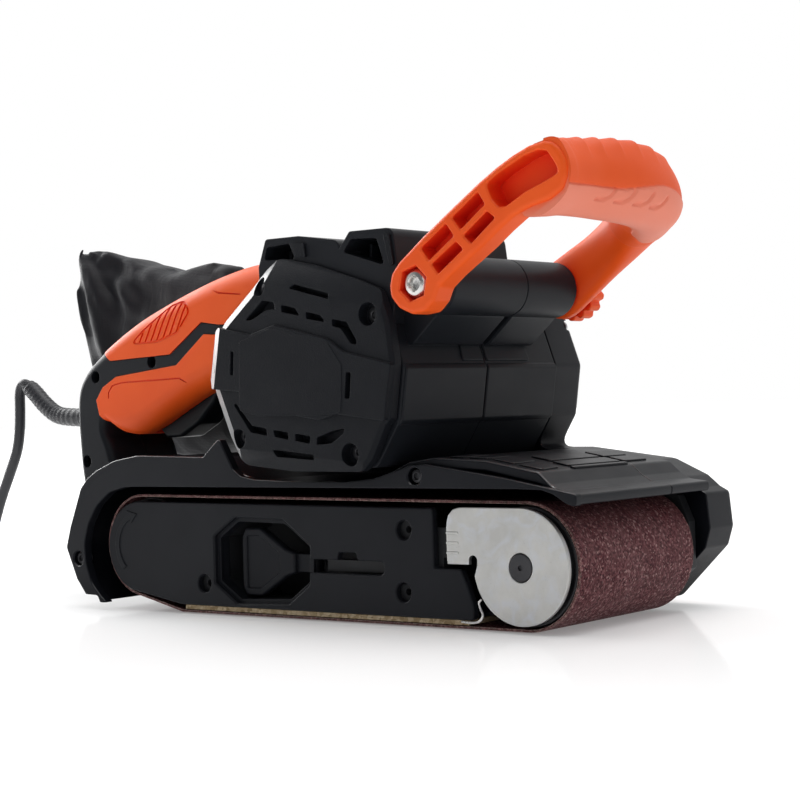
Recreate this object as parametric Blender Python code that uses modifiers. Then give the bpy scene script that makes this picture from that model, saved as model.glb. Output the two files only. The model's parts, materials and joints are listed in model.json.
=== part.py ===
"""Handheld belt sander, 76 x 533 mm class.

Frame: +X is forward and +Z up. -Y is the open side, where the belt comes off,
called near; +Y is the drive side, called far. The origin lies on the work plane,
midway between the two roller axes and at mid belt width. All lengths are in
millimetres; MM turns them into metres.
"""

import math

import bmesh
import bpy
from mathutils import Euler, Matrix, Vector

MM = 0.001

# ---------------------------------------------------------------- shared dimensions
GAP = 0.3  # running and parting clearance
FRONT_R, REAR_R = 23.31, 21.07  # roller radii, outside the belt
FRONT_X, FRONT_Z = 99.3, FRONT_R  # idler axis; its belt touches the work plane
REAR_X, REAR_Z = -FRONT_X, 26.77  # drive roller axis
MOTOR_X, MOTOR_Z = 6.5, 95.5
PIVOT_X, PIVOT_Z = 64.6, 125.5  # front handle pivot
# Axes along Y, as (x, z)
FRONT, REAR = (FRONT_X, FRONT_Z), (REAR_X, REAR_Z)
MOTOR, PIVOT = (MOTOR_X, MOTOR_Z), (PIVOT_X, PIVOT_Z)

PLATEN_X0, PLATEN_X1 = -76.7, 72.0  # flat run backed by the platen
WALL_Y0, WALL_Y1 = 41.0, 45.6  # gear wall of the frame
COVER_Y0, COVER_Y1 = 46.1, 66.0  # drive cover
CAP_Y0, CAP_Y1 = -55.0, -48.6  # motor end cap
NOSE_SEAM_Y = 19.0  # seam between the two belt guards
ROLLER_SHAFT_R, MOTOR_SHAFT_R = 5.0, 4.0
ROLLER_BORE_R = ROLLER_SHAFT_R + GAP
MOTOR_BORE_R = MOTOR_SHAFT_R + GAP
DRIVE_BEARING_R, MOTOR_BEARING_R = 10.1, 11.0
CLAMP_HOLE_R = 3.9  # hole for the front handle's bolt

# ---------------------------------------------------------------- scene and materials
for old in list(bpy.data.objects):
    bpy.data.objects.remove(old, do_unlink=True)

parts = bpy.data.collections.new("belt_sander")
cutters = bpy.data.collections.new("cutters")
bpy.context.scene.collection.children.link(parts)
bpy.context.scene.collection.children.link(cutters)


def material(name, rgb, roughness, metallic=0.0):
    mat = bpy.data.materials.new(name)
    mat.use_nodes = True
    node = mat.node_tree.nodes["Principled BSDF"]
    node.inputs["Base Color"].default_value = (*rgb, 1.0)
    node.inputs["Roughness"].default_value = roughness
    node.inputs["Metallic"].default_value = metallic
    mat.diffuse_color = (*rgb, 1.0)
    return mat


BLACK = material("black_plastic", rgb=(0.022, 0.023, 0.027), roughness=0.5)
BLACK_SATIN = material("black_satin", rgb=(0.018, 0.018, 0.021), roughness=0.35)
ORANGE = material("orange_plastic", rgb=(0.85, 0.115, 0.022), roughness=0.42)
ORANGE_SOFT = material("orange_soft", rgb=(0.80, 0.12, 0.03), roughness=0.55)
GRIT = material("abrasive", rgb=(0.13, 0.035, 0.035), roughness=0.9)
ZINC = material("zinc_steel", rgb=(0.62, 0.62, 0.58), roughness=0.35, metallic=1.0)
STEEL = material("steel", rgb=(0.35, 0.35, 0.36), roughness=0.35, metallic=1.0)
CORK = material("cork", rgb=(0.52, 0.42, 0.26), roughness=0.85)
COPPER = material("copper", rgb=(0.6, 0.28, 0.12), roughness=0.4, metallic=1.0)
BRASS = material("brass", rgb=(0.65, 0.48, 0.2), roughness=0.35, metallic=1.0)
CARBON = material("carbon", rgb=(0.03, 0.03, 0.03), roughness=0.7)
RUBBER = material("rubber", rgb=(0.015, 0.015, 0.016), roughness=0.7)
ALLOY = material("alloy", rgb=(0.5, 0.5, 0.51), roughness=0.45, metallic=1.0)
FABRIC = material("fabric", rgb=(0.016, 0.016, 0.018), roughness=0.85)
BOARD = material("board", rgb=(0.05, 0.16, 0.08), roughness=0.5)


# ---------------------------------------------------------------- solids
# Every solid made without a material is a hidden cutter, used only by modifiers.
def add_object(name, mesh, mat=None):
    obj = bpy.data.objects.new(name, mesh)
    if mat is None:
        cutters.objects.link(obj)
        obj.hide_render = True
        obj.display_type = "WIRE"
    else:
        parts.objects.link(obj)
        mesh.materials.clear()
        mesh.materials.append(mat)
    return obj


def smooth(mesh, sharp_angle):
    mesh.shade_smooth()
    mesh.set_sharp_from_angle(angle=math.radians(sharp_angle))


def mesh_from(bm, name):
    mesh = bpy.data.meshes.new(name)
    bm.to_mesh(mesh)
    bm.free()
    return mesh


def tidy(mesh, weld=1e-6):
    bm = bmesh.new()
    bm.from_mesh(mesh)
    bmesh.ops.remove_doubles(bm, verts=bm.verts, dist=weld)
    bmesh.ops.recalc_face_normals(bm, faces=bm.faces)
    bm.to_mesh(mesh)
    bm.free()
    smooth(mesh, 32)


def evaluated_mesh(obj):
    """Mesh of a helper object as its curve settings or modifiers leave it."""
    bpy.context.scene.collection.objects.link(obj)
    bpy.context.view_layer.update()
    graph = bpy.context.evaluated_depsgraph_get()
    return bpy.data.meshes.new_from_object(obj.evaluated_get(graph))


def curve_to_mesh(obj, name, mat):
    """Evaluated curve as a closed mesh object in the same place."""
    mesh = evaluated_mesh(obj)
    place = obj.matrix_world.copy()
    data = obj.data
    bpy.data.objects.remove(obj, do_unlink=True)
    bpy.data.curves.remove(data)
    tidy(mesh)
    mesh.name = name
    made = add_object(name, mesh, mat)
    made.matrix_world = place
    return made


def prism(name, loops, y0, y1, mat=None):
    """Outline in X and Z (first loop) with holes (other loops), extruded along Y."""
    if isinstance(loops[0][0], (int, float)):
        loops = [loops]
    data = bpy.data.curves.new(name, "CURVE")
    data.dimensions = "2D"
    data.fill_mode = "BOTH"
    data.extrude = abs(y1 - y0) / 2 * MM
    for loop in loops:
        spline = data.splines.new("POLY")
        spline.points.add(len(loop) - 1)
        for point, (x, z) in zip(spline.points, loop):
            point.co = (x * MM, z * MM, 0, 1)
        spline.use_cyclic_u = True
    obj = bpy.data.objects.new(name + "_outline", data)
    obj.location = (0, (y0 + y1) / 2 * MM, 0)
    obj.rotation_euler = (math.pi / 2, 0, 0)
    return curve_to_mesh(obj, name, mat)


def box(name, low, high, mat=None):
    bm = bmesh.new()
    bmesh.ops.create_cube(bm, size=1.0)
    size = Vector([(top - bottom) * MM for bottom, top in zip(low, high)])
    bmesh.ops.scale(bm, vec=size, verts=bm.verts)
    obj = add_object(name, mesh_from(bm, name), mat)
    obj.location = [(top + bottom) / 2 * MM for bottom, top in zip(low, high)]
    return obj


def cylinder(name, centre, radius, start, end, mat=None, axis="Y", seg=32):
    """Cylinder from start to end along the axis; centre gives the other two coordinates."""
    bm = bmesh.new()
    bmesh.ops.create_cone(
        bm,
        cap_ends=True,
        segments=seg,
        radius1=radius * MM,
        radius2=radius * MM,
        depth=abs(end - start) * MM,
    )
    turn = {
        "Z": Matrix.Identity(4),
        "Y": Matrix.Rotation(-math.pi / 2, 4, "X"),
        "X": Matrix.Rotation(math.pi / 2, 4, "Y"),
    }[axis]
    bmesh.ops.transform(bm, matrix=turn, verts=bm.verts)
    mesh = mesh_from(bm, name)
    smooth(mesh, 40)
    obj = add_object(name, mesh, mat)
    middle = (start + end) / 2
    first, second = centre
    where = {
        "Y": (first, middle, second),
        "Z": (first, second, middle),
        "X": (middle, first, second),
    }[axis]
    obj.location = [c * MM for c in where]
    return obj


def ring(name, centre, outer_radius, inner_radius, y0, y1, mat, count=28):
    loops = [circle(centre, outer_radius, count), circle(centre, inner_radius, 16)]
    return prism(name, loops, y0, y1, mat)


def at(x, y, z, rx=0.0, ry=0.0):
    """Placement at a point, turned by rx and ry degrees.

    rx=90 points local +Z along -Y; ry=-90 points it along -X.
    """
    turn = Euler((math.radians(rx), math.radians(ry), 0.0)).to_matrix().to_4x4()
    return Matrix.Translation((x * MM, y * MM, z * MM)) @ turn


def turned(name, profile, place, mat, seg=32):
    """Closed or axis-to-axis profile of (radius, height) turned about Z, then placed."""
    bm = bmesh.new()
    verts = [bm.verts.new((radius * MM, 0, height * MM)) for radius, height in profile]
    closed = min(radius for radius, _ in profile) > 0.01
    for i in range(len(verts) - (0 if closed else 1)):
        bm.edges.new((verts[i], verts[(i + 1) % len(verts)]))
    obj = bpy.data.objects.new(name + "_profile", mesh_from(bm, name))
    screw = obj.modifiers.new("Screw", "SCREW")
    screw.steps = screw.render_steps = seg
    screw.use_merge_vertices = True
    screw.merge_threshold = 1e-5
    mesh = evaluated_mesh(obj)
    bpy.data.objects.remove(obj, do_unlink=True)
    tidy(mesh, 1e-5)
    made = add_object(name, mesh, mat)
    made.matrix_world = place
    return made


def loft(name, rings, mat=None, hollow=None):
    """Skin through rings of equal point count.

    With hollow, a second set of rings, the result is an open-ended sleeve.
    """
    bm = bmesh.new()
    count = len(rings[0])

    def bridge(low, high):
        for i in range(count):
            j = (i + 1) % count
            bm.faces.new((low[i], low[j], high[j], high[i]))

    def skin(all_rings):
        made = [[bm.verts.new(Vector(point) * MM) for point in row] for row in all_rings]
        for low, high in zip(made, made[1:]):
            bridge(low, high)
        return made

    outer = skin(rings)
    if hollow:
        inner = skin(hollow)
        for end in (0, -1):
            bridge(outer[end], inner[end])
    else:
        bm.faces.new(outer[0])
        bm.faces.new(outer[-1])
    bmesh.ops.recalc_face_normals(bm, faces=bm.faces)
    mesh = mesh_from(bm, name)
    smooth(mesh, 45)
    return add_object(name, mesh, mat)


def tube(name, path, radius, mat, resolution=2):
    """Round wire or tube along a polyline."""
    data = bpy.data.curves.new(name, "CURVE")
    data.dimensions = "3D"
    data.bevel_depth = radius * MM
    data.bevel_resolution = resolution
    data.use_fill_caps = True
    spline = data.splines.new("POLY")
    spline.points.add(len(path) - 1)
    for point, place in zip(spline.points, path):
        point.co = (*[c * MM for c in place], 1)
    return curve_to_mesh(bpy.data.objects.new(name + "_path", data), name, mat)


# ---------------------------------------------------------------- modifiers
def combine(obj, how, others):
    for other in others:
        mod = obj.modifiers.new(how.title() + "_" + other.name, "BOOLEAN")
        mod.operation = how
        mod.solver = "EXACT"
        mod.object = other


def cut(obj, *others):
    combine(obj, "DIFFERENCE", others)


def join(obj, *others):
    combine(obj, "UNION", others)


def keep(obj, *others):
    combine(obj, "INTERSECT", others)


def bore(obj, name, centre, radius, y0, y1, seg):
    """Round hole along Y."""
    cut(obj, cylinder(name, centre, radius, y0, y1, seg=seg))


def soften(obj, width, segments):
    """Bevel on the edges sharper than 60 degrees."""
    mod = obj.modifiers.new("Bevel", "BEVEL")
    mod.width = width * MM
    mod.segments = segments
    mod.limit_method = "ANGLE"
    mod.angle_limit = math.radians(60)
    mod.use_clamp_overlap = True


# ---------------------------------------------------------------- outlines
def circle(centre, radius, count=32):
    return around(centre, count, [(0.0, radius)])


def around(centre, count, steps):
    """Closed outline repeating steps of (share of one pitch, radius) count times."""
    x, z = centre
    pitch = 2 * math.pi / count
    points = []
    for i in range(count):
        start = 2 * math.pi * i / count
        for share, radius in steps:
            angle = start + share * pitch
            points.append((x + radius * math.cos(angle), z + radius * math.sin(angle)))
    return points


def toothed(centre, radius, teeth, depth):
    root = radius - depth
    return around(centre, teeth, [(-0.26, radius), (0.26, radius), (0.33, root), (0.67, root)])


def knurled(centre, outer_radius, inner_radius, ridges):
    return around(centre, ridges, [(0.0, inner_radius), (0.5, outer_radius)])


def arc(centre, radius, start, end, steps):
    """Points from start to end in degrees, both ends included."""
    x, z = centre
    points = []
    for i in range(steps + 1):
        angle = math.radians(start + (end - start) * i / steps)
        points.append((x + radius * math.cos(angle), z + radius * math.sin(angle)))
    return points


def offset(points, distance):
    """Open polyline moved sideways by distance, to the right of its direction."""
    normals = []
    for (x0, y0), (x1, y1) in zip(points, points[1:]):
        normals.append(Vector((y1 - y0, x0 - x1)).normalized())
    moved = []
    for i, (x, y) in enumerate(points):
        before = normals[max(i - 1, 0)]
        after = normals[min(i, len(normals) - 1)]
        middle = (before + after).normalized()
        # The limit keeps sharp corners from running far out.
        move = middle * (distance / max(middle.dot(before), 0.5))
        moved.append((x + move.x, y + move.y))
    return moved


def inset(points, distance):
    """Closed polygon shrunk by distance on every side."""
    pairs = zip(points, points[1:] + points[:1])
    area = sum(x0 * y1 - y0 * x1 for (x0, y0), (x1, y1) in pairs)
    loop = [points[-1]] + list(points) + [points[0]]
    return offset(loop, -distance if area > 0 else distance)[1:-1]


def rounded(points, radius, steps):
    """Closed polygon with each corner replaced by a small curve."""
    result = []
    for i, point in enumerate(points):
        corner = Vector(point)
        back = Vector(points[i - 1]) - corner
        ahead = Vector(points[(i + 1) % len(points)]) - corner
        half = back.angle(ahead) / 2
        reach = min(radius / math.tan(half), back.length * 0.48, ahead.length * 0.48)
        start = corner + back.normalized() * reach
        end = corner + ahead.normalized() * reach
        for k in range(steps + 1):
            t = k / steps
            blend = start * (1 - t) ** 2 + corner * 2 * t * (1 - t) + end * t * t
            result.append(tuple(blend))
    return result


# ---------------------------------------------------------------- abrasive belt and platen
BELT_WIDTH = 75.0
BELT_THICKNESS = 1.0
FLAT_END_SHIFT = 0.11  # forward move of the flat's rear end per unit of inward move


def belt_loop(inside):
    """Closed path round both rollers and the flat, moved inwards by inside."""
    front_radius, rear_radius = FRONT_R - inside, REAR_R - inside
    span_x, span_z = REAR_X - FRONT_X, REAR_Z - FRONT_Z
    lean = math.acos((front_radius - rear_radius) / math.hypot(span_x, span_z))
    top = math.degrees(math.atan2(span_z, span_x) - lean)
    # Tangent from the rear end of the flat to the rear roller
    flat_x = PLATEN_X0 + inside * FLAT_END_SHIFT
    reach_x, reach_z = REAR_X - flat_x, REAR_Z - inside
    reach = math.hypot(reach_x, reach_z)
    rise = math.atan2(reach_z, reach_x) + math.asin(rear_radius / reach)
    length = math.sqrt(reach**2 - rear_radius**2)
    touch_x = flat_x + length * math.cos(rise)
    touch_z = inside + length * math.sin(rise)
    last = math.degrees(math.atan2(touch_z - REAR_Z, touch_x - REAR_X)) + 360
    points = arc(FRONT, front_radius, -90, top, 18)
    points += arc(REAR, rear_radius, top, last, 16)
    points.append((flat_x, inside))
    return points


def make_sanding_belt():
    loops = [belt_loop(0), belt_loop(BELT_THICKNESS)]
    prism("sanding_belt", loops, -BELT_WIDTH / 2, BELT_WIDTH / 2, GRIT)


def make_platen():
    rear_x = PLATEN_X0 + 1.5
    box("platen_pad", (rear_x, -37.0, 1.3), (PLATEN_X1, 37.0, 3.0), CORK)
    box("platen_plate", (rear_x, -36.2, 3.3), (PLATEN_X1 - 1, 37.0, 4.6), STEEL)


# ---------------------------------------------------------------- rollers
ROLLER_GAP = 0.35  # roller to belt
DRIVE_SHAFT_Y0, DRIVE_SHAFT_Y1 = -36.2, 61.0
AXLE_Y0, AXLE_Y1 = -39.9, 40.2


def make_drive_roller():
    radius = REAR_R - BELT_THICKNESS - ROLLER_GAP
    half, shoulder = 34.3, 33.0
    profile = [
        (ROLLER_BORE_R, half), (radius - 1, half), (radius, shoulder),
        (radius, -shoulder), (radius - 1, -half), (ROLLER_BORE_R, -half),
    ]
    turned("drive_roller", profile, at(REAR_X, 2.6, REAR_Z, rx=90), RUBBER)
    cylinder("drive_shaft", REAR, ROLLER_SHAFT_R, DRIVE_SHAFT_Y0, DRIVE_SHAFT_Y1, STEEL, seg=20)
    for side, y0, y1 in (("near", DRIVE_SHAFT_Y0, -32.4), ("far", 41.2, 45.4)):
        ring(f"drive_bearing_{side}", REAR, DRIVE_BEARING_R, ROLLER_BORE_R, y0, y1, STEEL)


def make_front_roller():
    """Idler with slightly tapered ends and a groove in one end face."""
    radius = FRONT_R - BELT_THICKNESS - ROLLER_GAP
    half, edge, groove, crown = 36.8, 36.6, 34.5, 20
    profile = [
        (ROLLER_BORE_R, half), (radius - 5, half), (radius - 4, groove),
        (radius - 1.5, groove), (radius - 1, half), (radius - 0.4, edge),
        (radius, crown), (radius, -crown), (radius - 0.4, -edge),
        (radius - 1, -half), (ROLLER_BORE_R, -half),
    ]
    # The idler's bore is slightly wider than the drive roller's.
    profile[0] = (5.35, half)
    profile[-1] = (5.35, -half)
    turned("front_roller", profile, at(FRONT_X, 0.2, FRONT_Z, rx=90), ALLOY)
    cylinder("idler_axle", FRONT, ROLLER_SHAFT_R, AXLE_Y0, AXLE_Y1, STEEL, seg=20)


# ---------------------------------------------------------------- frame inside the belt
# Outlines as (x, z)
LEVER_OPENING = [
    (-55.5, 31.6), (-43.9, 39.0), (-17.6, 38.4), (-3.6, 29.0),
    (-4.2, 13.6), (-15.2, 5.9), (-43.2, 4.9), (-55.5, 12.7),
]
PLATE_SLOT = [(-8.0, 18.4), (34.0, 18.4), (34.0, 23.6), (-8.0, 23.6)]
PLATE_SCREWS = [(44.0, 35.6), (43.2, 12.4), (-61.5, 12.3)]
WALL_OUTLINE = [
    (-118, 6.5), (-126, 16), (-128.2, 27), (-125.5, 37), (-119, 45.2), (-108, 49.3),
    (40, 49.3), (103, 48.6), (114, 44), (118.5, 34), (118.5, 16), (106, 6.2),
]
PLATE_Y0, PLATE_Y1 = -39.5, -36.7  # open side plate
PLATE_CUT = (-41, -35)  # Y span that goes right through the side plate
SPRING_Z = 21.0  # height of the tension spring's axis, which runs along X
LEVER_X, LEVER_Y = -9.5, -29.5  # tension lever hinge, along Z
LEVER = (LEVER_X, LEVER_Y)
PIN_R = 1.3
PIN_Z0, PIN_Z1 = 8.0, 35.4
PIN_END_GAP = 0.4


def make_base_frame():
    core = box("base_frame", (-73.0, -36.4, 5.0), (46.2, 41.5, 43.6), ALLOY)
    arm_outline = [(-70, 8)] + arc(REAR, 18.6, -75, -285, 14) + [(-70, 43)]
    join(
        core,
        prism("gear_wall", WALL_OUTLINE, WALL_Y0, WALL_Y1),
        prism("near_arm", arm_outline, -36.4, -32.2),
    )
    bore(core, "shaft_hole", REAR, DRIVE_BEARING_R + GAP, -38, 47, seg=24)
    cut(
        core,
        prism("lever_pocket", inset(LEVER_OPENING, 1.2), -37.5, -13.0),
        box("slide_way", (-20, -36.9, 15.2), (48.5, -22.0, 26.4)),
        cylinder("spring_bore", (0, SPRING_Z), 8.0, 9.0, 48.5, axis="X", seg=16),
        box("core_hollow_rear", (-66, -12.0, 8.0), (-4, 38.0, 48.0)),
        box("core_hollow_front", (16, -16.0, 28.5), (42, 38.0, 48.0)),
    )
    for i, centre in enumerate(PLATE_SCREWS):
        bore(core, f"core_screw_{i}", centre, 1.4, -38, -28, seg=10)
    socket_z = (PIN_Z0 - PIN_END_GAP, PIN_Z1 + PIN_END_GAP)
    cut(
        core,
        box("lever_room", (-16.5, -36.9, 16.9), (-2.5, -22.0, 25.5)),
        cylinder("pin_sockets", LEVER, PIN_R + GAP, *socket_z, axis="Z", seg=12),
    )


def make_side_plate():
    outline = arc((REAR_X, REAR_Z - 0.5), 18.7, 90, 255, 14) + [
        (PLATEN_X0 + 1, 3.4), (72.2, 3.4), (70.3, 7.5), (67.4, 14.5),
        (65.7, 21.9), (58.1, 21.9), (58.1, 44.7),
    ]
    plate = prism("side_plate", outline, PLATE_Y0, PLATE_Y1, BLACK)
    cut(
        plate,
        prism("plate_octagon", LEVER_OPENING, *PLATE_CUT),
        prism("plate_slot", PLATE_SLOT, *PLATE_CUT),
    )
    for i, centre in enumerate(PLATE_SCREWS):
        bore(plate, f"plate_hole_{i}", centre, 3.6, *PLATE_CUT, seg=20)


# ---------------------------------------------------------------- belt tension carriage
BRACKET_ROUND = (FRONT_X, FRONT_Z + 0.2)  # centre of the bracket's large round
BRACKET_Y0, BRACKET_Y1 = -39.9, -38.0
SPRING_X0, SPRING_LENGTH = 10.8, 41.0
SPRING_COIL_R, SPRING_WIRE_R = 5.6, 0.9
SPRING_TURNS, SPRING_STEPS = 6, 12  # steps are per turn


def make_tension_bracket():
    outline = (
        arc(BRACKET_ROUND, 21.0, 90, -170, 26)
        + [(79.9, 23.7)]
        + arc((78.0, 25.3), 1.9, -10, 190, 6)
        + [(76.1, 23.8), (66.2, 23.8), (66.2, 38.8), (67.0, 41.4), (69.2, 43.7), (72.4, 44.5)]
    )
    loops = [outline, circle(FRONT, ROLLER_BORE_R, 20)]
    bracket = prism("tension_bracket", loops, BRACKET_Y0, BRACKET_Y1, ZINC)
    join(bracket, box("bracket_flange", (66.2, -38.2, 25.0), (68.0, -36.0, 39.0)))


def make_tension_slide():
    arm_outline = [(54, 17.5), (72, 17.5)] + arc(FRONT, 12, -150, 150, 12)
    arm_outline += [(72, 29.5), (54, 29.5)]
    fork = box("tension_slide", (53.5, -36.0, 17.0), (60.0, 40.0, 30.0), STEEL)
    join(
        fork,
        box("slide_bar", (1.2, -34.5, 18.8), (54.0, -30.5, 23.2)),
        box("fork_tab", (56.0, -35.9, 25.5), (65.7, -33.8, 36.5)),
        prism("fork_far_arm", arm_outline, 37.5, 40.3),
    )
    bore(fork, "fork_axle_hole", FRONT, ROLLER_BORE_R, 36, 42, seg=20)


def make_tension_spring():
    steps = SPRING_TURNS * SPRING_STEPS
    coil = []
    for i in range(steps + 1):
        share = i / steps
        angle = 2 * math.pi * SPRING_TURNS * share
        x = SPRING_X0 + SPRING_LENGTH * share
        y = SPRING_COIL_R * math.cos(angle)
        coil.append((x, y, SPRING_Z + SPRING_COIL_R * math.sin(angle)))
    tube("tension_spring", coil, SPRING_WIRE_R, STEEL, resolution=1)


def make_tension_lever():
    outline = [
        (-45.4, 30.6), (-43.4, 34.6), (-35.0, 34.6), (-21.5, 26.6), (-16.5, 25.0),
        (-16.5, 17.4), (-21.5, 15.9), (-35.0, 7.6), (-43.4, 7.6), (-45.4, 11.4),
    ]
    arm_z0, arm_z1 = 17.6, 24.8
    lever = prism("tension_lever", outline, -34.2, -30.6, BLACK)
    join(
        lever,
        box("lever_arm", (-17.0, -32.6, arm_z0), (LEVER_X, -28.0, arm_z1)),
        cylinder("lever_barrel", LEVER, 3.1, arm_z0, arm_z1, axis="Z", seg=16),
    )
    cut(lever, cylinder("lever_bore", LEVER, PIN_R + GAP, 10, 32, axis="Z", seg=14))
    cylinder("lever_pin", LEVER, PIN_R, PIN_Z0, PIN_Z1, STEEL, axis="Z", seg=12)


# ---------------------------------------------------------------- belt guards and nose
GUARD_Y0, GUARD_Y1 = -43.0, -39.4  # upright sheet of the near guard
# Outlines as (x, z): the upper edge from rear to front, then the lower edge back
GUARD_OUTLINE = [
    (-134.5, 12.0), (-140.8, 25.3), (-138.0, 34.0), (-130.9, 50.4), (-126.5, 54.6),
    (-120.5, 58.0), (-109.5, 62.0), (-95.8, 64.0), (-57.2, 63.2), (-47.9, 70.7),
    (-40.4, 58.3), (-36.5, 55.6), (-29.0, 54.3), (-6.5, 53.6), (19.4, 53.6), (33.0, 54.8),
    (50.6, 59.6), (57.8, 60.1), (72.2, 58.2), (92.6, 55.4), (125.4, 49.6),
    (125.2, 45.0), (121.0, 46.2), (115.5, 49.4), (110.5, 50.9), (100.0, 51.2),
    (-95.0, 51.2), (-103.5, 51.0), (-113.0, 48.9), (-121.0, 43.3), (-126.6, 35.5),
    (-129.2, 27.5), (-128.6, 19.0), (-125.4, 11.0), (-120.0, 5.6), (-116.0, 2.7),
    (-120.5, 2.7), (-122.0, 5.6), (-129.2, 5.8),
]
DECK_OUTLINE = [
    (-133.5, 12.6), (-139.6, 25.3), (-130.0, 50.0), (-120.0, 57.4), (-95.8, 63.2),
    (-57.2, 62.4), (-41.0, 57.6), (-29.0, 54.0), (19.4, 53.4), (33.0, 54.6), (48.0, 60.8),
    (60.0, 62.4), (84.0, 61.4), (107.5, 57.2), (112.5, 52.9), (117.0, 50.4), (125.4, 49.4),
    (125.2, 45.4), (117.0, 47.6), (108.0, 52.6), (84.0, 57.4), (60.0, 58.4), (50.0, 57.0),
    (36.0, 51.2), (-93.0, 51.2), (-97.0, 58.4), (-114.0, 54.4), (-126.0, 46.5),
    (-134.0, 25.3), (-130.5, 15.0),
]


def make_near_guard():
    guard = prism("belt_guard_near", GUARD_OUTLINE, GUARD_Y0, GUARD_Y1, BLACK)
    join(guard, prism("deck_near", DECK_OUTLINE, -39.9, NOSE_SEAM_Y - GAP / 2))
    bore(guard, "guard_hole_front", (52.8, 55.7), 3.2, -45, -36, seg=18)
    bore(guard, "guard_hole_rear", (-135.6, 21.2), 3.0, -45, -36, seg=18)


def make_far_guard():
    span = (NOSE_SEAM_Y + GAP / 2, COVER_Y0 - GAP)
    guard = prism("belt_guard_far", DECK_OUTLINE, *span, BLACK)
    cut(guard, prism("wall_room", offset(WALL_OUTLINE, -0.35), 40.6, 47))


# ---------------------------------------------------------------- motor housing
SHELL_WALL = 2.6
SEAM_HALF = GAP / 2  # each half stops this far from the seam at Y = 0
SHELL_Y0, SHELL_Y1 = CAP_Y1 + GAP, COVER_Y0 - GAP
BOSS_R = 11.0  # front handle boss
BOSS_Y0, BOSS_Y1 = -44.2, 32.4
# Outlines as (x, z)
SHELL_OUTLINE = [
    (-8.0, 134.0), (44.9, 121.3), (54.1, 96.2), (51.0, 75.7),
    (39.8, 58.9), (-21.2, 64.4), (-38.8, 87.5), (-32.3, 114.9),
]
REAR_HOOD = [
    (-17.0, 128.0), (-15.8, 136.1), (-12.2, 146.2), (4.0, 146.8), (24.5, 143.9), (24.1, 120.0),
]
FRONT_HOOD = [
    (20.0, 120.0), (24.4, 139.0), (31.2, 146.7), (50.2, 146.7),
    (52.0, 134.0), (52.2, 129.0), (49.0, 112.0),
]
BOSS_WEB = [
    (40.0, 118.0), (44.0, 134.0), (56.0, 133.0), (66.5, 120.0),
    (66.0, 114.8), (53.5, 104.0), (44.0, 104.0),
]
# Air outlets on the near side of the hoods
HOOD_MOUTHS = {
    "hood_mouth_l": [
        (-12.8, 137.0), (-10.6, 143.4), (3.0, 143.6), (6.0, 134.0), (6.0, 127.0), (-12.8, 131.5),
    ],
    "hood_mouth_r": [
        (27.6, 137.6), (32.4, 143.8), (45.0, 143.4), (48.0, 133.6), (42.0, 119.0), (26.0, 122.6),
    ],
}
CAP_SCREWS = {
    "upper_rear": (-12.9, 127.4),
    "upper_front": (42.0, 115.4),
    "lower_rear": (-25.3, 71.9),
    "lower_front": (32.4, 65.0),
}


def make_shell_half(name, y0, y1, boss_span, hood_ends, hollow_end):
    """One half of the motor housing; hood_ends are the far ends of rear and front hoods."""
    boss0, boss1 = boss_span
    rear_end, front_end = hood_ends
    shell = prism(name, rounded(SHELL_OUTLINE, 3.5, 2), y0, y1, BLACK)
    join(
        shell,
        prism(name + "_hood_l", REAR_HOOD, y0, rear_end),
        prism(name + "_hood_r", FRONT_HOOD, y0, front_end),
        prism(name + "_web", BOSS_WEB, boss0 + 2, boss1 - 1.5),
        cylinder(name + "_boss", PIVOT, BOSS_R, boss0, boss1, seg=36),
    )
    cut(shell, prism(name + "_hollow", inset(SHELL_OUTLINE, SHELL_WALL), y0 - 1, hollow_end))
    bore(shell, name + "_bolt_hole", PIVOT, CLAMP_HOLE_R, boss0 - 2, boss1 + 2, seg=16)
    return shell


def make_near_housing():
    """Half open at both ends, with the air outlets and the end cap's screw bosses."""
    shell = make_shell_half(
        "motor_housing_near",
        SHELL_Y0,
        -SEAM_HALF,
        boss_span=(BOSS_Y0, -SEAM_HALF),
        hood_ends=(-SEAM_HALF, -SEAM_HALF),
        hollow_end=-SEAM_HALF + 1,
    )
    for name, outline in HOOD_MOUTHS.items():
        cut(shell, prism(name, outline, -50, -20))
    for i, centre in enumerate(CAP_SCREWS.values()):
        join(shell, cylinder(f"near_boss_{i}", centre, 4.6, SHELL_Y0, CAP_Y1 + 12, seg=14))
        bore(shell, f"near_bore_{i}", centre, 1.8, CAP_Y1 - 1, CAP_Y1 + 9.5, seg=10)


def make_far_housing():
    """Half closed at its far end by a wall with the hole for the motor bearing."""
    shell = make_shell_half(
        "motor_housing_far",
        SEAM_HALF,
        SHELL_Y1,
        boss_span=(SEAM_HALF, BOSS_Y1),
        hood_ends=(34.0, 20.0),
        hollow_end=SHELL_Y1 - 3.0,
    )
    bore(shell, "motor_shaft_hole", MOTOR, MOTOR_BEARING_R + GAP, 40, 48, seg=24)


# ---------------------------------------------------------------- motor end cap
FACE_DEPTH = 2.0
BODY_SETBACK = 1.6  # cap body behind the outer face
FIELD_DEPTH = 1.2
WELL_DEPTH = 3.6
# Sunk fields either side of the proud middle band, as (x, z)
CAP_FIELDS = {
    "cap_upper_field": [
        (-24.5, 113.6), (-17.4, 111.6), (-6.4, 115.0), (22.7, 109.4), (30.6, 103.2),
        (41.9, 100.5), (49.0, 99.6), (42.5, 116.8), (-7.0, 129.5), (-22.0, 118.0),
    ],
    "cap_lower_field": [
        (-28.5, 88.6), (-22.1, 88.2), (-13.7, 81.0), (17.2, 76.6), (24.7, 79.2),
        (37.6, 76.8), (46.2, 75.8), (37.2, 62.8), (-19.0, 68.2), (-32.5, 84.0),
    ],
}
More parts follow.
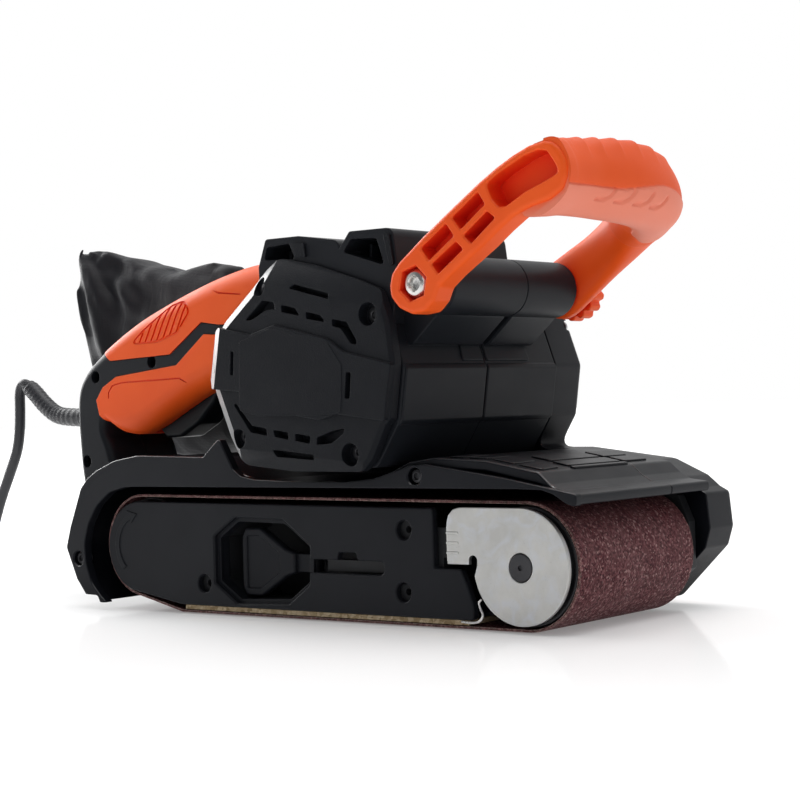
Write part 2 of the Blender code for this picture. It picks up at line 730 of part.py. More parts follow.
# Through slots, as (x, z); u1 to u4 lie in the upper field, l1 to l4 in the lower one
CAP_SLOTS = {
    "top": [(4.1, 126.6), (6.0, 128.2), (24.8, 123.4), (24.7, 121.4)],
    "bottom": [(-7.9, 66.4), (13.6, 64.3), (13.2, 62.3), (-6.0, 63.6)],
    "left": [(-27.6, 104.6), (-25.9, 104.4), (-26.4, 95.0), (-28.1, 95.2)],
    "right": [(31.7, 94.7), (34.2, 94.5), (33.2, 84.8), (30.7, 85.0)],
    "u1": [
        (-20.6, 116.0), (-11.1, 123.3), (-5.2, 122.4), (-4.5, 119.6), (-8.8, 119.6),
        (-17.2, 116.0),
    ],
    "u2": [(-1.4, 121.2), (5.9, 119.6), (8.4, 116.5), (-1.2, 118.4)],
    "u3": [(11.3, 118.0), (18.5, 116.3), (21.3, 113.5), (11.4, 115.3)],
    "u4": [
        (24.3, 114.7), (31.7, 113.2), (36.0, 106.5), (36.3, 104.6), (33.4, 105.1),
        (28.5, 111.0), (24.4, 112.0),
    ],
    "l1": [
        (-26.8, 84.6), (-18.0, 75.6), (-10.6, 74.4), (-10.2, 71.6), (-19.0, 73.0),
        (-27.6, 83.6),
    ],
    "l2": [(-7.2, 73.9), (0.8, 72.8), (0.8, 70.0), (-6.4, 71.2)],
    "l3": [(4.2, 72.4), (12.2, 71.2), (11.6, 68.4), (4.2, 69.6)],
    "l4": [
        (15.4, 70.8), (23.4, 73.2), (29.2, 74.0), (28.6, 72.0), (22.6, 68.4), (15.0, 68.0),
    ],
}
# Profile of (radius, height), head upwards
CAP_SCREW_PROFILE = [
    (0, 2.0), (2.2, 1.9), (3.2, 1.2), (3.2, 0), (1.5, 0), (1.5, -9.0), (0, -9.6),
]


def make_end_cap():
    body = rounded(SHELL_OUTLINE, 4.5, 3)
    cap = prism("motor_end_cap", body, CAP_Y0 + BODY_SETBACK, CAP_Y1, BLACK)
    face = rounded(inset(SHELL_OUTLINE, 0.6), 4.5, 3)
    join(cap, prism("cap_face", face, CAP_Y0, CAP_Y0 + FACE_DEPTH))
    outside, inside = CAP_Y0 - 1, CAP_Y1 + 1
    for name, outline in CAP_FIELDS.items():
        cut(cap, prism(name, outline, outside, CAP_Y0 + FIELD_DEPTH))
    for key, outline in CAP_SLOTS.items():
        cut(cap, prism("cap_slot_" + key, outline, outside, inside))
    for i, centre in enumerate(CAP_SCREWS.values()):
        bore(cap, f"cap_well_{i}", centre, 3.9, outside, CAP_Y0 + WELL_DEPTH, seg=18)
        bore(cap, f"cap_bore_{i}", centre, 1.9, outside, inside, seg=10)


def make_cap_screws():
    for key, (x, z) in CAP_SCREWS.items():
        place = at(x, CAP_Y0 + WELL_DEPTH - GAP, z, rx=90)
        turned("cap_screw_" + key, CAP_SCREW_PROFILE, place, STEEL, seg=12)


# ---------------------------------------------------------------- drive cover, tracking knob
COVER_OUTLINE = [
    (-119.5, 3.0), (-129.0, 6.0), (-140.8, 25.3), (-130.9, 50.4), (-120.5, 58.0),
    (-95.8, 64.0), (-72.0, 84.0), (-66.0, 119.0), (-32.3, 119.5), (-8.0, 134.0),
    (44.9, 121.3), (54.1, 96.2), (51.0, 75.7), (42.5, 62.5), (60.0, 62.4), (99.3, 57.6),
    (114.2, 51.0), (119.6, 46.6), (123.6, 44.6), (125.0, 31.0), (122.6, 23.5),
    (100.7, 2.6), (60.0, 2.6),
]
TRACKING = (86.0, 24.0)
STEM_R = 2.8


def make_drive_cover():
    cover = prism("drive_cover", rounded(COVER_OUTLINE, 2.5, 1), COVER_Y0, COVER_Y1, BLACK)
    soften(cover, 3.2, segments=1)
    cut(cover, prism("cover_hollow", inset(COVER_OUTLINE, 3.0), COVER_Y0 - 1, COVER_Y1 - 3.2))
    bore(cover, "tracking_hole", TRACKING, STEM_R + GAP, 60, 70, seg=16)


def make_tracking_knob():
    knob = prism("tracking_knob", knurled(TRACKING, 9.0, 8.2, 12), 66.4, 73.6, ORANGE)
    join(knob, cylinder("tracking_stem", TRACKING, STEM_R, 54.0, 68.0, seg=16))


# ---------------------------------------------------------------- toothed belt drive
MOTOR_PULLEY_R, DRIVEN_PULLEY_R = 8.6, 16.2  # over the teeth
MOTOR_TEETH, DRIVEN_TEETH = 16, 30
TOOTH_DEPTH = 1.2
PULLEY_Y = (49.6, 59.6)


def drive_path(extra):
    """Closed path round both pulleys, extra outside their teeth."""
    motor_radius, driven_radius = MOTOR_PULLEY_R + extra, DRIVEN_PULLEY_R + extra
    span_x, span_z = REAR_X - MOTOR_X, REAR_Z - MOTOR_Z
    way = math.degrees(math.atan2(span_z, span_x))
    span = math.hypot(span_x, span_z)
    lean = math.degrees(math.acos((motor_radius - driven_radius) / span))
    path = arc(MOTOR, motor_radius, way + lean, way + 360 - lean, 12)
    return path + arc(REAR, driven_radius, way - lean, way + lean, 16)


def make_belt_drive():
    motor_teeth = toothed(MOTOR, MOTOR_PULLEY_R, MOTOR_TEETH, TOOTH_DEPTH)
    prism("motor_pulley", [motor_teeth, circle(MOTOR, MOTOR_BORE_R, 14)], *PULLEY_Y, ALLOY)
    driven_teeth = toothed(REAR, DRIVEN_PULLEY_R, DRIVEN_TEETH, TOOTH_DEPTH)
    prism("driven_pulley", [driven_teeth, circle(REAR, ROLLER_BORE_R, 16)], *PULLEY_Y, ALLOY)
    prism("timing_belt", [drive_path(2.2), drive_path(0.35)], 50.2, 59.0, RUBBER)


# ---------------------------------------------------------------- motor
COMMUTATOR_R = 11.0
BRUSH_START = COMMUTATOR_R + 0.4  # from the motor axis


def make_armature():
    cylinder("armature_shaft", MOTOR, MOTOR_SHAFT_R, -45.6, 61.0, STEEL, seg=20)
    loops = [toothed(MOTOR, 18.6, 12, 4.0), circle(MOTOR, MOTOR_BORE_R, 16)]
    prism("armature_core", loops, -20, 20, STEEL)
    ring("commutator", MOTOR, COMMUTATOR_R, MOTOR_BORE_R, -36.5, -24.5, COPPER, count=24)
    for side, y0, y1 in (("near", -45.4, -39.4), ("far", 42.6, 48.6)):
        ring(f"motor_bearing_{side}", MOTOR, MOTOR_BEARING_R, MOTOR_BORE_R, y0, y1, STEEL)


def make_cooling_fan():
    """Eleven swept blades on a disc."""
    hole = circle(MOTOR, MOTOR_BORE_R, 16)
    blades = around(MOTOR, 11, [(0.0, 11.5), (0.22, 25.5), (0.42, 25.5), (0.36, 11.5)])
    fan = prism("cooling_fan", [blades, hole], 27.0, 37.5, BLACK_SATIN)
    join(fan, prism("fan_disc", [circle(MOTOR, 26.5), hole], 25.5, 28.0))


def make_stator():
    """Ring with an upper and a lower pole close to the armature."""
    inner = []
    for middle in (90, 270):
        inner += arc(MOTOR, 19.4, middle - 52, middle + 52, 8)
        inner += arc(MOTOR, 25.4, middle + 58, middle + 122, 5)
    prism("stator_core", [circle(MOTOR, 29.0, 36), inner], -20.5, 20.5, STEEL)


def brush_box(name, side, start, end, y_span, half_height, mat=None):
    """Box on one side of the motor axis; start and end are distances from it along X."""
    x0, x1 = sorted((MOTOR_X + side * start, MOTOR_X + side * end))
    low = (x0, y_span[0], MOTOR_Z - half_height)
    return box(name, low, (x1, y_span[1], MOTOR_Z + half_height), mat)


def make_brushes():
    for label, side in (("front", 1), ("rear", -1)):
        holder = brush_box(
            "brush_holder_" + label, side, 15.5, 30.5, (-35.2, -25.6), 5.0, BRASS
        )
        cut(holder, brush_box("brush_way_" + label, side, BRUSH_START, 33.0, (-33.6, -27.2), 3.4))
        brush_box("carbon_brush_" + label, side, BRUSH_START, 26.0, (-33.3, -27.5), 3.1, CARBON)


# ---------------------------------------------------------------- front handle
ARCH_TILT = math.radians(33.5)  # plane of the front handle above the horizontal
ARM_Y0, ARM_Y1 = -55.0, -44.6  # near arm
GRIP_HOLE_SCALE, SPINE_SCALE = 0.66, 0.62  # inner sections as shares of the grip's
ALONG_Y = (0.0, 1.0)
# Sections of the handle: distance along the tilted plane from the pivot, y,
# half size square to the plane above and below it, half size in the plane
NEAR_ROW = (58.0, -50.0, 6.6, 7.8, 7.6)
ARCH = [
    (60.0, -44.3, 10.8, 12.8, 12.8),
    (63.0, -37.5, 10.8, 13.8, 12.8),
    (65.8, -29.0, 10.6, 15.2, 13.2),
    (67.6, -17.0, 10.8, 16.6, 13.6),
    (67.6, -2.0, 10.6, 17.4, 14.0),
    (65.0, 12.0, 10.2, 17.0, 13.6),
    (60.0, 22.5, 9.8, 15.6, 12.8),
    (52.0, 30.5, 9.6, 12.6, 11.4),
    (43.0, 35.0, 9.6, 10.6, 10.2),
]
FAR_ARM = [
    (42.6, 35.2, 9.6, 10.6, 10.2),
    (34.0, 37.2, 9.3, 10.0, 7.6),
    (22.0, 37.7, 9.8, 10.2, 5.6),
    (10.0, 37.7, 11.0, 11.0, 4.9),
    (0.0, 37.7, 11.6, 11.4, 4.9),
    (-6.0, 37.7, 9.6, 9.4, 4.9),
    (-10.6, 37.7, 4.6, 4.4, 4.9),
]
# Outlines in the arm: distance along the tilted plane, distance square to it
ARM_OUTLINE = [
    (-11.6, -4.5), (-9.5, 7.5), (0.0, 12.2), (34.0, 11.4), (52.0, 11.2), (62.5, 9.0),
    (70.5, 2.0), (73.5, -6.5), (72.0, -13.5), (58.0, -13.6), (36.0, -13.0),
    (14.0, -13.2), (4.0, -12.2), (-6.0, -10.5),
]
ARM_POCKETS = {
    "pocket_large": [
        (43.5, -9.0), (43.0, 7.6), (59.0, 7.2), (66.0, -0.5), (65.6, -6.6), (60.0, -9.6),
    ],
    "pocket_1": [(27.0, 1.0), (27.0, 8.2), (40.0, 7.8), (40.4, 1.0)],
    "pocket_2": [(27.0, -8.6), (27.0, -1.2), (40.4, -1.2), (40.4, -8.8)],
    "pocket_3": [(12.0, 1.0), (12.6, 8.6), (24.6, 8.4), (24.6, 1.0)],
    "pocket_4": [(12.4, -8.0), (11.6, -1.2), (24.6, -1.2), (24.6, -8.6)],
}


def arch_point(along, y, above):
    """Point from its distances along and above the handle's tilted plane."""
    cos_tilt, sin_tilt = math.cos(ARCH_TILT), math.sin(ARCH_TILT)
    x = PIVOT_X + along * cos_tilt - above * sin_tilt
    return (x, y, PIVOT_Z + along * sin_tilt + above * cos_tilt)


def arm_points(outline):
    """Arm outline as (x, z)."""
    return [arch_point(along, 0, above)[::2] for along, above in outline]


def between(before, after):
    return (after[0] - before[0], after[1] - before[1])


def arch_ring(row, direction, scale=1.0):
    """Section of the handle as 16 points, square to a direction (along, y)."""
    along, y, up, down, half = row
    forward = Vector(direction).normalized()
    side = Vector((forward.y, -forward.x))
    points = []
    for k in range(16):
        angle = 2 * math.pi * k / 16
        # The power below one makes the oval squarer.
        across = math.copysign(abs(math.cos(angle)) ** 0.85, math.cos(angle))
        above = math.copysign(abs(math.sin(angle)) ** 0.85, math.sin(angle))
        width = half * scale * across
        height = (up if above > 0 else down) * scale * above
        points.append(arch_point(along + side.x * width, y + side.y * width, height))
    return points


def rings_after_first(rows, scale=1.0):
    neighbours = zip(rows, rows[1:], rows[2:] + rows[-1:])
    return [arch_ring(row, between(before, after), scale) for before, row, after in neighbours]


def grip_rings(scale=1.0):
    """Sections of ARCH; the first is square to Y, flat against the near arm."""
    return [arch_ring(ARCH[0], ALONG_Y, scale)] + rings_after_first(ARCH, scale)


def make_handle_grip():
    loft("front_handle_grip", grip_rings(), ORANGE_SOFT, hollow=grip_rings(GRIP_HOLE_SCALE))


def make_handle_frame():
    """Near arm, the spine inside the grip and the far arm, in one piece."""
    frame = prism(
        "front_handle_frame", rounded(arm_points(ARM_OUTLINE), 5.0, 2), ARM_Y0, ARM_Y1, ORANGE
    )
    end_direction = between(ARCH[-2], ARCH[-1])
    spine = [arch_ring(NEAR_ROW, ALONG_Y)] + grip_rings(SPINE_SCALE)
    spine.append(arch_ring(FAR_ARM[0], end_direction, SPINE_SCALE))
    spine.append(arch_ring(FAR_ARM[0], end_direction))
    spine += rings_after_first(FAR_ARM)
    join(frame, loft("handle_spine", spine))
    bore(frame, "arm_bolt_hole", PIVOT, CLAMP_HOLE_R, -60, 50, seg=16)
    bore(frame, "arm_head_recess", PIVOT, 6.6, -60, -50.6, seg=6)
    for name, outline in ARM_POCKETS.items():
        cut(frame, prism(name, rounded(arm_points(outline), 1.2, 1), -58, ARM_Y0 + 6.6))


def make_handle_clamp():
    bolt_profile = [
        (0, 4.0), (4.6, 3.6), (5.6, 2.4), (5.6, 0.0),
        (3.5, 0.0), (3.5, -98.5), (2.6, -99.4), (0, -99.4),
    ]
    place = at(PIVOT_X, -50.9, PIVOT_Z, rx=90)
    turned("handle_clamp_bolt", bolt_profile, place, ZINC, seg=16)
    knob = prism("handle_clamp_knob", knurled(PIVOT, 12.0, 10.7, 10), 43.0, 50.6, ORANGE)
    bore(knob, "knob_bore", PIVOT, CLAMP_HOLE_R, 42, 49.4, seg=14)


# ---------------------------------------------------------------- rear handle
HANDLE_HALF_WIDTH = 20.0
BUTTON = (-97.0, 114.5)
DIAL = (-58.0, 126.5)
# Outlines and lines as (x, z)
HANDLE_OUTLINE = [
    (-32.8, 115.2), (-18.1, 126.9), (-17.7, 142.2), (-34.0, 142.6), (-56.5, 141.0),
    (-74.0, 137.6), (-90.0, 133.2), (-106.0, 127.8), (-121.5, 121.6), (-135.0, 114.4),
    (-146.0, 107.0), (-154.5, 100.0), (-159.2, 93.0), (-160.0, 80.0), (-158.6, 65.0),
    (-156.8, 52.4), (-153.5, 41.0), (-146.5, 31.5), (-142.6, 31.8), (-137.8, 42.0),
    (-132.2, 52.2), (-121.4, 59.3), (-123.0, 60.6), (-133.0, 62.4), (-138.2, 65.6),
    (-141.4, 70.5), (-142.4, 76.0), (-140.6, 78.6), (-137.6, 76.2), (-133.8, 73.2),
    (-127.0, 72.2), (-117.5, 75.4), (-100.0, 83.0), (-83.5, 90.2), (-60.0, 97.6),
    (-36.0, 101.6),
]
# Lower edge of the upper grip and upper edge of the lower grip, from front to rear
UPPER_LINE = [
    (-10.0, 117.4), (-69.6, 117.2), (-80.1, 118.7), (-99.6, 105.9), (-136.9, 104.4),
    (-142.5, 108.5),
]
LOWER_LINE = [
    (-10.0, 112.4), (-73.5, 113.2), (-78.6, 113.6), (-95.6, 101.2), (-133.3, 97.4),
    (-142.0, 93.0), (-146.4, 87.5), (-144.6, 81.0), (-139.0, 75.2), (-136.6, 69.5),
]
GRIP_HOLLOW = [
    (-130, 78.5), (-118, 82.0), (-98, 91.0), (-80, 98.0), (-60, 104.0), (-40, 107.0),
    (-40, 132.5), (-60, 133.0), (-78, 130.0), (-100, 122.5), (-118, 115.0),
    (-130, 107.5), (-140, 99.0),
]
WIRE_WAY = [
    (-134.0, 103.0), (-149, 97.0), (-155.5, 90.0), (-155.5, 76.0),
    (-148.5, 76.0), (-147.5, 90.0), (-141, 97.6), (-134, 99.5),
]
TRIGGER_ROOM = [(-124.5, 84.5), (-118.0, 98.0), (-80.0, 102.0), (-80.0, 94.0)]
TRIGGER_WINDOW = [
    (-124.5, 66.0), (-124.5, 84.5), (-118.0, 95.0), (-80.0, 97.0), (-79.0, 80.0),
    (-100.0, 64.0),
]
TRIGGER_OUTLINE = [
    (-119.5, 88.0), (-113.0, 92.8), (-88.5, 92.8), (-84.0, 91.8), (-88.0, 84.5),
    (-97.0, 76.2), (-108.0, 70.6), (-117.5, 70.2), (-121.0, 74.0),
]
HANDLE_SCREWS = [(-146.8, 97.6), (-153.6, 60.8), (-111.0, 103.1)]
SLEEVE_R = 4.2  # cord sleeve
CORD_HOLE_R = SLEEVE_R + 0.4


def make_handle_blank():
    """The handle's full shape with rounded long edges, which trims every handle piece."""
    blank = prism("handle_blank", HANDLE_OUTLINE, -HANDLE_HALF_WIDTH, HANDLE_HALF_WIDTH)
    soften(blank, 7.5, segments=3)
    bore(blank, "handle_notch", (-140.4, 76.7), 2.7, -24, 24, seg=16)
    return blank


def make_upper_grip(blank, hollow):
    grip = prism("upper_grip", UPPER_LINE + [(-160, 150), (-10, 150)], -30, 30, ORANGE)
    keep(grip, blank)
    cut(grip, hollow)
    bore(grip, "button_way", BUTTON, 4.0, 9.0, 24.0, seg=20)
    bore(grip, "dial_well", DIAL, 9.2, 14.2, 24.0, seg=24)


def make_lower_grip(blank, hollow):
    grip = prism("lower_grip", LOWER_LINE + [(-10, 69.5)], -30, 30, ORANGE)
    keep(grip, blank)
    cut(grip, hollow, prism("trigger_window", TRIGGER_WINDOW, -7.5, 7.5))


def make_handle_half(name, y0, y1, blank, hollow):
    """Black half of the handle, cut back by GAP from both orange grips."""
    half = box(name, (-165, y0, 25), (-8, y1, 150), BLACK)
    keep(half, blank)
    above = [(-5, 117.1)] + offset(UPPER_LINE, -GAP)[1:] + [(-165, 151), (-5, 151)]
    below = [(-5, 112.7)] + offset(LOWER_LINE, GAP)[1:] + [(-5, 66)]
    cut(half, prism(name + "_upper", above, -32, 32), prism(name + "_lower", below, -32, 32))
    cut(half, hollow, prism(name + "_way", WIRE_WAY, -9.0, 9.0))
    if name == "rear_handle_near":
        for i, centre in enumerate(HANDLE_SCREWS):
            bore(half, f"handle_screw_{i}", centre, 2.7, -26, -14.5, seg=16)
    cut(half, prism(name + "_room", TRIGGER_ROOM, -8.0, 8.0))
    hole_name = name + "_cord_hole"
    cut(half, cylinder(hole_name, (0.0, 80.1), CORD_HOLE_R, -165, -150, axis="X", seg=16))


def make_rear_handle():
    blank = make_handle_blank()
    hollow = prism("handle_hollow", GRIP_HOLLOW, -11.5, 11.5)
    make_upper_grip(blank, hollow)
    make_lower_grip(blank, hollow)
    make_handle_half("rear_handle_near", -25, -GAP / 2, blank, hollow)
    make_handle_half("rear_handle_far", GAP / 2, 25, blank, hollow)


def make_controls():
    """Switch, speed board, trigger, lock button and speed dial."""
    box("trigger_switch", (-112.0, -9.0, 97.0), (-86.0, 9.0, 112.0), BLACK_SATIN)
    box("speed_control_board", (-70.0, -11.0, 108.5), (-44.0, 11.0, 110.3), BOARD)
    prism("trigger", rounded(TRIGGER_OUTLINE, 1.6, 1), -7.0, 7.0, BLACK_SATIN)
    cylinder("lock_button", BUTTON, 3.6, 12.6, 21.6, BLACK_SATIN, seg=20)
    prism("speed_dial", knurled(DIAL, 8.6, 8.0, 12), 14.6, 21.8, BLACK_SATIN)


# ---------------------------------------------------------------- dust outlet and bag
OUTLET_Y, OUTLET_Z = 50.5, 104.0
# Profiles of (radius, height), height running to the rear
OUTLET_PROFILE = [
    (13.0, 0.0), (18.0, 0.0), (18.0, 2.2), (15.2, 2.2), (15.2, 23.0),
    (15.6, 24.0), (15.6, 26.0), (14.8, 27.5), (13.0, 27.5),
]
COLLAR_PROFILE = [
    (16.0, 14.0), (21.0, 14.0), (21.0, 17.0), (18.6, 17.0),
    (18.6, 34.0), (20.6, 35.0), (20.6, 38.0), (16.0, 38.0),
]
# Sections of the bag: x, y0, y1, z0, z1, power (1 is an ellipse, less is squarer)
BAG_ROWS = [
    (-106.0, 31.0, 71.0, 84.0, 125.0, 1.0),
    (-110.0, 28.5, 76.0, 74.0, 143.0, 0.8),
    (-125.0, 27.5, 80.0, 66.0, 148.5, 0.65),
    (-150.0, 27.0, 82.0, 62.0, 152.0, 0.6),
    (-180.0, 27.0, 80.0, 60.0, 156.0, 0.6),
    (-200.0, 28.0, 76.0, 66.0, 158.5, 0.6),
    (-206.5, 31.0, 70.0, 74.0, 158.5, 0.6),
]


def bag_ring(x, y0, y1, z0, z1, power):
    points = []
    for k in range(20):
        angle = 2 * math.pi * k / 20
        across = math.copysign(abs(math.cos(angle)) ** power, math.cos(angle))
        above = math.copysign(abs(math.sin(angle)) ** power, math.sin(angle))
        y = (y0 + y1) / 2 + (y1 - y0) / 2 * across
        points.append((x, y, (z0 + z1) / 2 + (z1 - z0) / 2 * above))
    return points


def make_dust_parts():
    outlet_place = at(-73.6, OUTLET_Y, OUTLET_Z, ry=-90)
    turned("dust_outlet", OUTLET_PROFILE, outlet_place, BLACK, seg=28)
    collar_place = at(-66.6, OUTLET_Y, OUTLET_Z, ry=-90)
    turned("bag_collar", COLLAR_PROFILE, collar_place, BLACK, seg=28)
    loft("dust_bag", [bag_ring(*row) for row in BAG_ROWS], FABRIC)


# ---------------------------------------------------------------- cord
CORD_R = 2.4
# Centre lines as (x, y, z), from the handle outwards
SLEEVE_PATH = [
    (-158.0, 0.0, 80.2), (-172.0, 0.0, 80.0), (-186.0, 0.0, 80.2), (-196.5, 0.0, 81.5),
    (-204.5, 0.0, 85.8), (-211.5, 0.0, 91.4), (-216.5, 0.0, 95.0),
]
CORD_PATH = [
    (-217.0, 0.0, 95.4), (-219.6, 0.0, 96.4), (-222.0, 0.0, 95.0), (-223.2, 0.0, 91.0),
    (-223.3, 0.0, 84.0), (-224.0, 0.0, 74.0), (-226.3, 0.0, 64.8), (-232.0, 0.0, 54.0),
    (-239.0, 0.5, 42.6), (-246.0, 1.5, 30.0), (-252.0, 3.0, 18.0), (-258.0, 6.0, 8.6),
    (-266.0, 11.0, 4.0), (-276.0, 18.0, 2.8), (-288.0, 28.0, 2.7),
]


def make_cord():
    sleeve = tube("cord_sleeve", SLEEVE_PATH, SLEEVE_R, RUBBER)
    cut(sleeve, box("sleeve_end", (-230.0, -6.0, 88.0), (-216.2, 6.0, 104.0)))
    tube("power_cord", CORD_PATH, CORD_R, RUBBER)


# ---------------------------------------------------------------- joints
# Empty on the joint's axis: its place (x, y, z) and the pieces it carries
JOINTS = {
    "axis_motor": (
        (MOTOR_X, 0, MOTOR_Z),
        ("armature_shaft", "armature_core", "commutator", "cooling_fan", "motor_pulley"),
    ),
    "axis_drive_roller": ((REAR_X, 0, REAR_Z), ("drive_roller", "drive_shaft", "driven_pulley")),
    "axis_carriage": ((56.0, 0, FRONT_Z), ("tension_bracket", "tension_slide", "idler_axle")),
    "axis_idler": ((FRONT_X, 0, FRONT_Z), ("front_roller",)),
    "axis_lever": ((LEVER_X, LEVER_Y, SPRING_Z), ("tension_lever",)),
    "axis_front_handle": (
        (PIVOT_X, 0, PIVOT_Z),
        ("front_handle_frame", "front_handle_grip", "handle_clamp_bolt"),
    ),
    "axis_clamp_knob": ((PIVOT_X, 46.0, PIVOT_Z), ("handle_clamp_knob",)),
    "axis_trigger": ((-86.0, 0, 91.0), ("trigger",)),
    "axis_lock_button": ((BUTTON[0], 16.0, BUTTON[1]), ("lock_button",)),
    "axis_speed_dial": ((DIAL[0], 18.0, DIAL[1]), ("speed_dial",)),
    "axis_tracking": ((TRACKING[0], 66.0, TRACKING[1]), ("tracking_knob",)),
    "axis_bag": ((-82.0, OUTLET_Y, OUTLET_Z), ("dust_bag", "bag_collar")),
}


def make_joints():
    """Parent the moving pieces to their empties, leaving them where they are."""
    for name, (place, carried) in JOINTS.items():
        holder = bpy.data.objects.new(name, None)
        holder.location = [c * MM for c in place]
        holder.empty_display_size = 0.01
        parts.objects.link(holder)
        bpy.context.view_layer.update()
        for piece in carried:
            obj = bpy.data.objects[piece]
            obj.parent = holder
            obj.matrix_parent_inverse = holder.matrix_world.inverted()


# ---------------------------------------------------------------- build
make_sanding_belt()
make_platen()
make_drive_roller()
make_front_roller()
make_base_frame()
make_side_plate()
make_tension_bracket()
make_tension_slide()
make_tension_spring()
make_tension_lever()
make_near_guard()
make_far_guard()
make_near_housing()
make_far_housing()
make_end_cap()
make_cap_screws()
make_drive_cover()
make_tracking_knob()
make_belt_drive()
make_armature()
make_cooling_fan()
make_stator()
make_brushes()
make_handle_grip()
make_handle_frame()
make_handle_clamp()
make_rear_handle()
make_controls()
make_dust_parts()
make_cord()
make_joints()
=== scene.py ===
"""Handheld belt sander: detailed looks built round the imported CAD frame.

The belt runs along x on the floor at z = 0. The nose and front handle point to +x, the rear
handle, dust bag and cord to -x. The "near" side, with the side plate and motor end cap, faces
-y; the "far" side, with the drive cover, faces +y. Helper arguments are in millimetres, the
finished meshes in metres. Outlines are (x, z) points unless a comment says otherwise.
"""

import json
import math

import bmesh
import bpy
from mathutils import Matrix, Vector, noise

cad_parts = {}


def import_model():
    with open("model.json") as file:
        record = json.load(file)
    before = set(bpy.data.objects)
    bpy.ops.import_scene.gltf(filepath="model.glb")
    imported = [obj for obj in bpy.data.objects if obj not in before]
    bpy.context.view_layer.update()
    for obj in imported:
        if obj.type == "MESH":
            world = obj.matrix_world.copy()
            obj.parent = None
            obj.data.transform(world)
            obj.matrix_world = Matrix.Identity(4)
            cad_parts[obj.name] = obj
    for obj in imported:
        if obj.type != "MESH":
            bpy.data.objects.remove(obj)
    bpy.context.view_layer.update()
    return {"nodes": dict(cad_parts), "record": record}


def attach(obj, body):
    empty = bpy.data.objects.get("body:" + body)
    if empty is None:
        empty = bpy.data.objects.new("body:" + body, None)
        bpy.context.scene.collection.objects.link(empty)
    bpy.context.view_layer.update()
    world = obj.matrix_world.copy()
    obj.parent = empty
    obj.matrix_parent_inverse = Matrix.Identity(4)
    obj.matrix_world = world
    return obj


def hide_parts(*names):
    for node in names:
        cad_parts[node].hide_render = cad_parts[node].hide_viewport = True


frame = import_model()
nodes = frame["nodes"]
scene = bpy.context.scene

BODY_OF = {
    node: body
    for body, members in frame["record"]["behaviour"]["bodies"].items()
    for node in members
}

# ---------------------------------------------------------------- shared sizes
MM = 0.001
GAP = 0.3  # seam between neighbouring mouldings
OVER = 0.01  # how far a cutter starts outside the face it cuts

BELT_W, BELT_T = 75.0, 1.0
FRONT_X, FRONT_Z, FRONT_R = 99.3, 23.31, 23.31  # belt's outer arc round the front roller
REAR_X, REAR_Z, REAR_R = -99.3, 26.77, 21.07  # and round the drive roller
PLATEN_X0 = -76.7
PLATE_Y0, PLATE_Y1 = -39.5, -36.7
GUARD_Y, NOSE_SEAM_Y = -43.0, 19.0
COVER_Y0, COVER_Y1 = 46.1, 66.0
CAP_Y0, CAP_Y1 = -55.0, -48.6
MOTOR_X, MOTOR_Z = 6.5, 95.5
PIVOT_X, PIVOT_Z = PIVOT = 64.6, 125.5  # clamp bolt of the front handle
BOLT_HOLE_R = 3.9
BOSS_R, BOSS_Y0, BOSS_Y1 = 11.0, -44.2, 32.4
ARM_Y0, ARM_Y1 = -55.0, -44.6
LEVER_X, LEVER_Y = -9.5, -29.5
OUTLET_Y, OUTLET_Z = 50.5, 104.0


# ---------------------------------------------------------------- node trees
class Nodes:
    """Short calls for building a node tree."""

    def __init__(self, tree):
        self.tree = tree

    def feed(self, socket, value):
        """Links an output to the socket, or sets its number or colour."""
        if isinstance(value, bpy.types.NodeSocket):
            self.tree.links.new(value, socket)
        elif isinstance(value, tuple) and socket.type == "RGBA":
            socket.default_value = (*value, 1.0)
        else:
            socket.default_value = value

    def node(self, kind, feeds=None, **props):
        made = self.tree.nodes.new(kind)
        for key, value in props.items():
            setattr(made, key, value)
        for key, value in (feeds or {}).items():
            self.feed(made.inputs[key], value)
        return made

    def ramp(self, factor, stops):
        """Stops are (position, grey or colour)."""
        made = self.node("ShaderNodeValToRGB", {"Fac": factor})
        elements = made.color_ramp.elements
        while len(elements) < len(stops):
            elements.new(0.5)
        for element, (position, shade) in zip(elements, stops):
            element.position = position
            element.color = (*(shade if isinstance(shade, tuple) else (shade,) * 3), 1.0)
        return made.outputs["Color"]

    def rise(self, factor, low, high):
        """0 below low, 1 above high."""
        return self.ramp(factor, [(low, 0.0), (high, 1.0)])

    def mix(self, factor, first, second):
        feeds = {0: factor, 6: first, 7: second}
        return self.node("ShaderNodeMix", feeds, data_type="RGBA").outputs[2]

    def math(self, operation, first, second, clamp=False):
        feeds = {0: first, 1: second}
        made = self.node("ShaderNodeMath", feeds, operation=operation, use_clamp=clamp)
        return made.outputs[0]

    def add(self, first, second):
        return self.math("ADD", first, second)

    def times(self, first, second, clamp=False):
        return self.math("MULTIPLY", first, second, clamp)

    def less(self, first, second, clamp=False):
        return self.math("SUBTRACT", first, second, clamp)


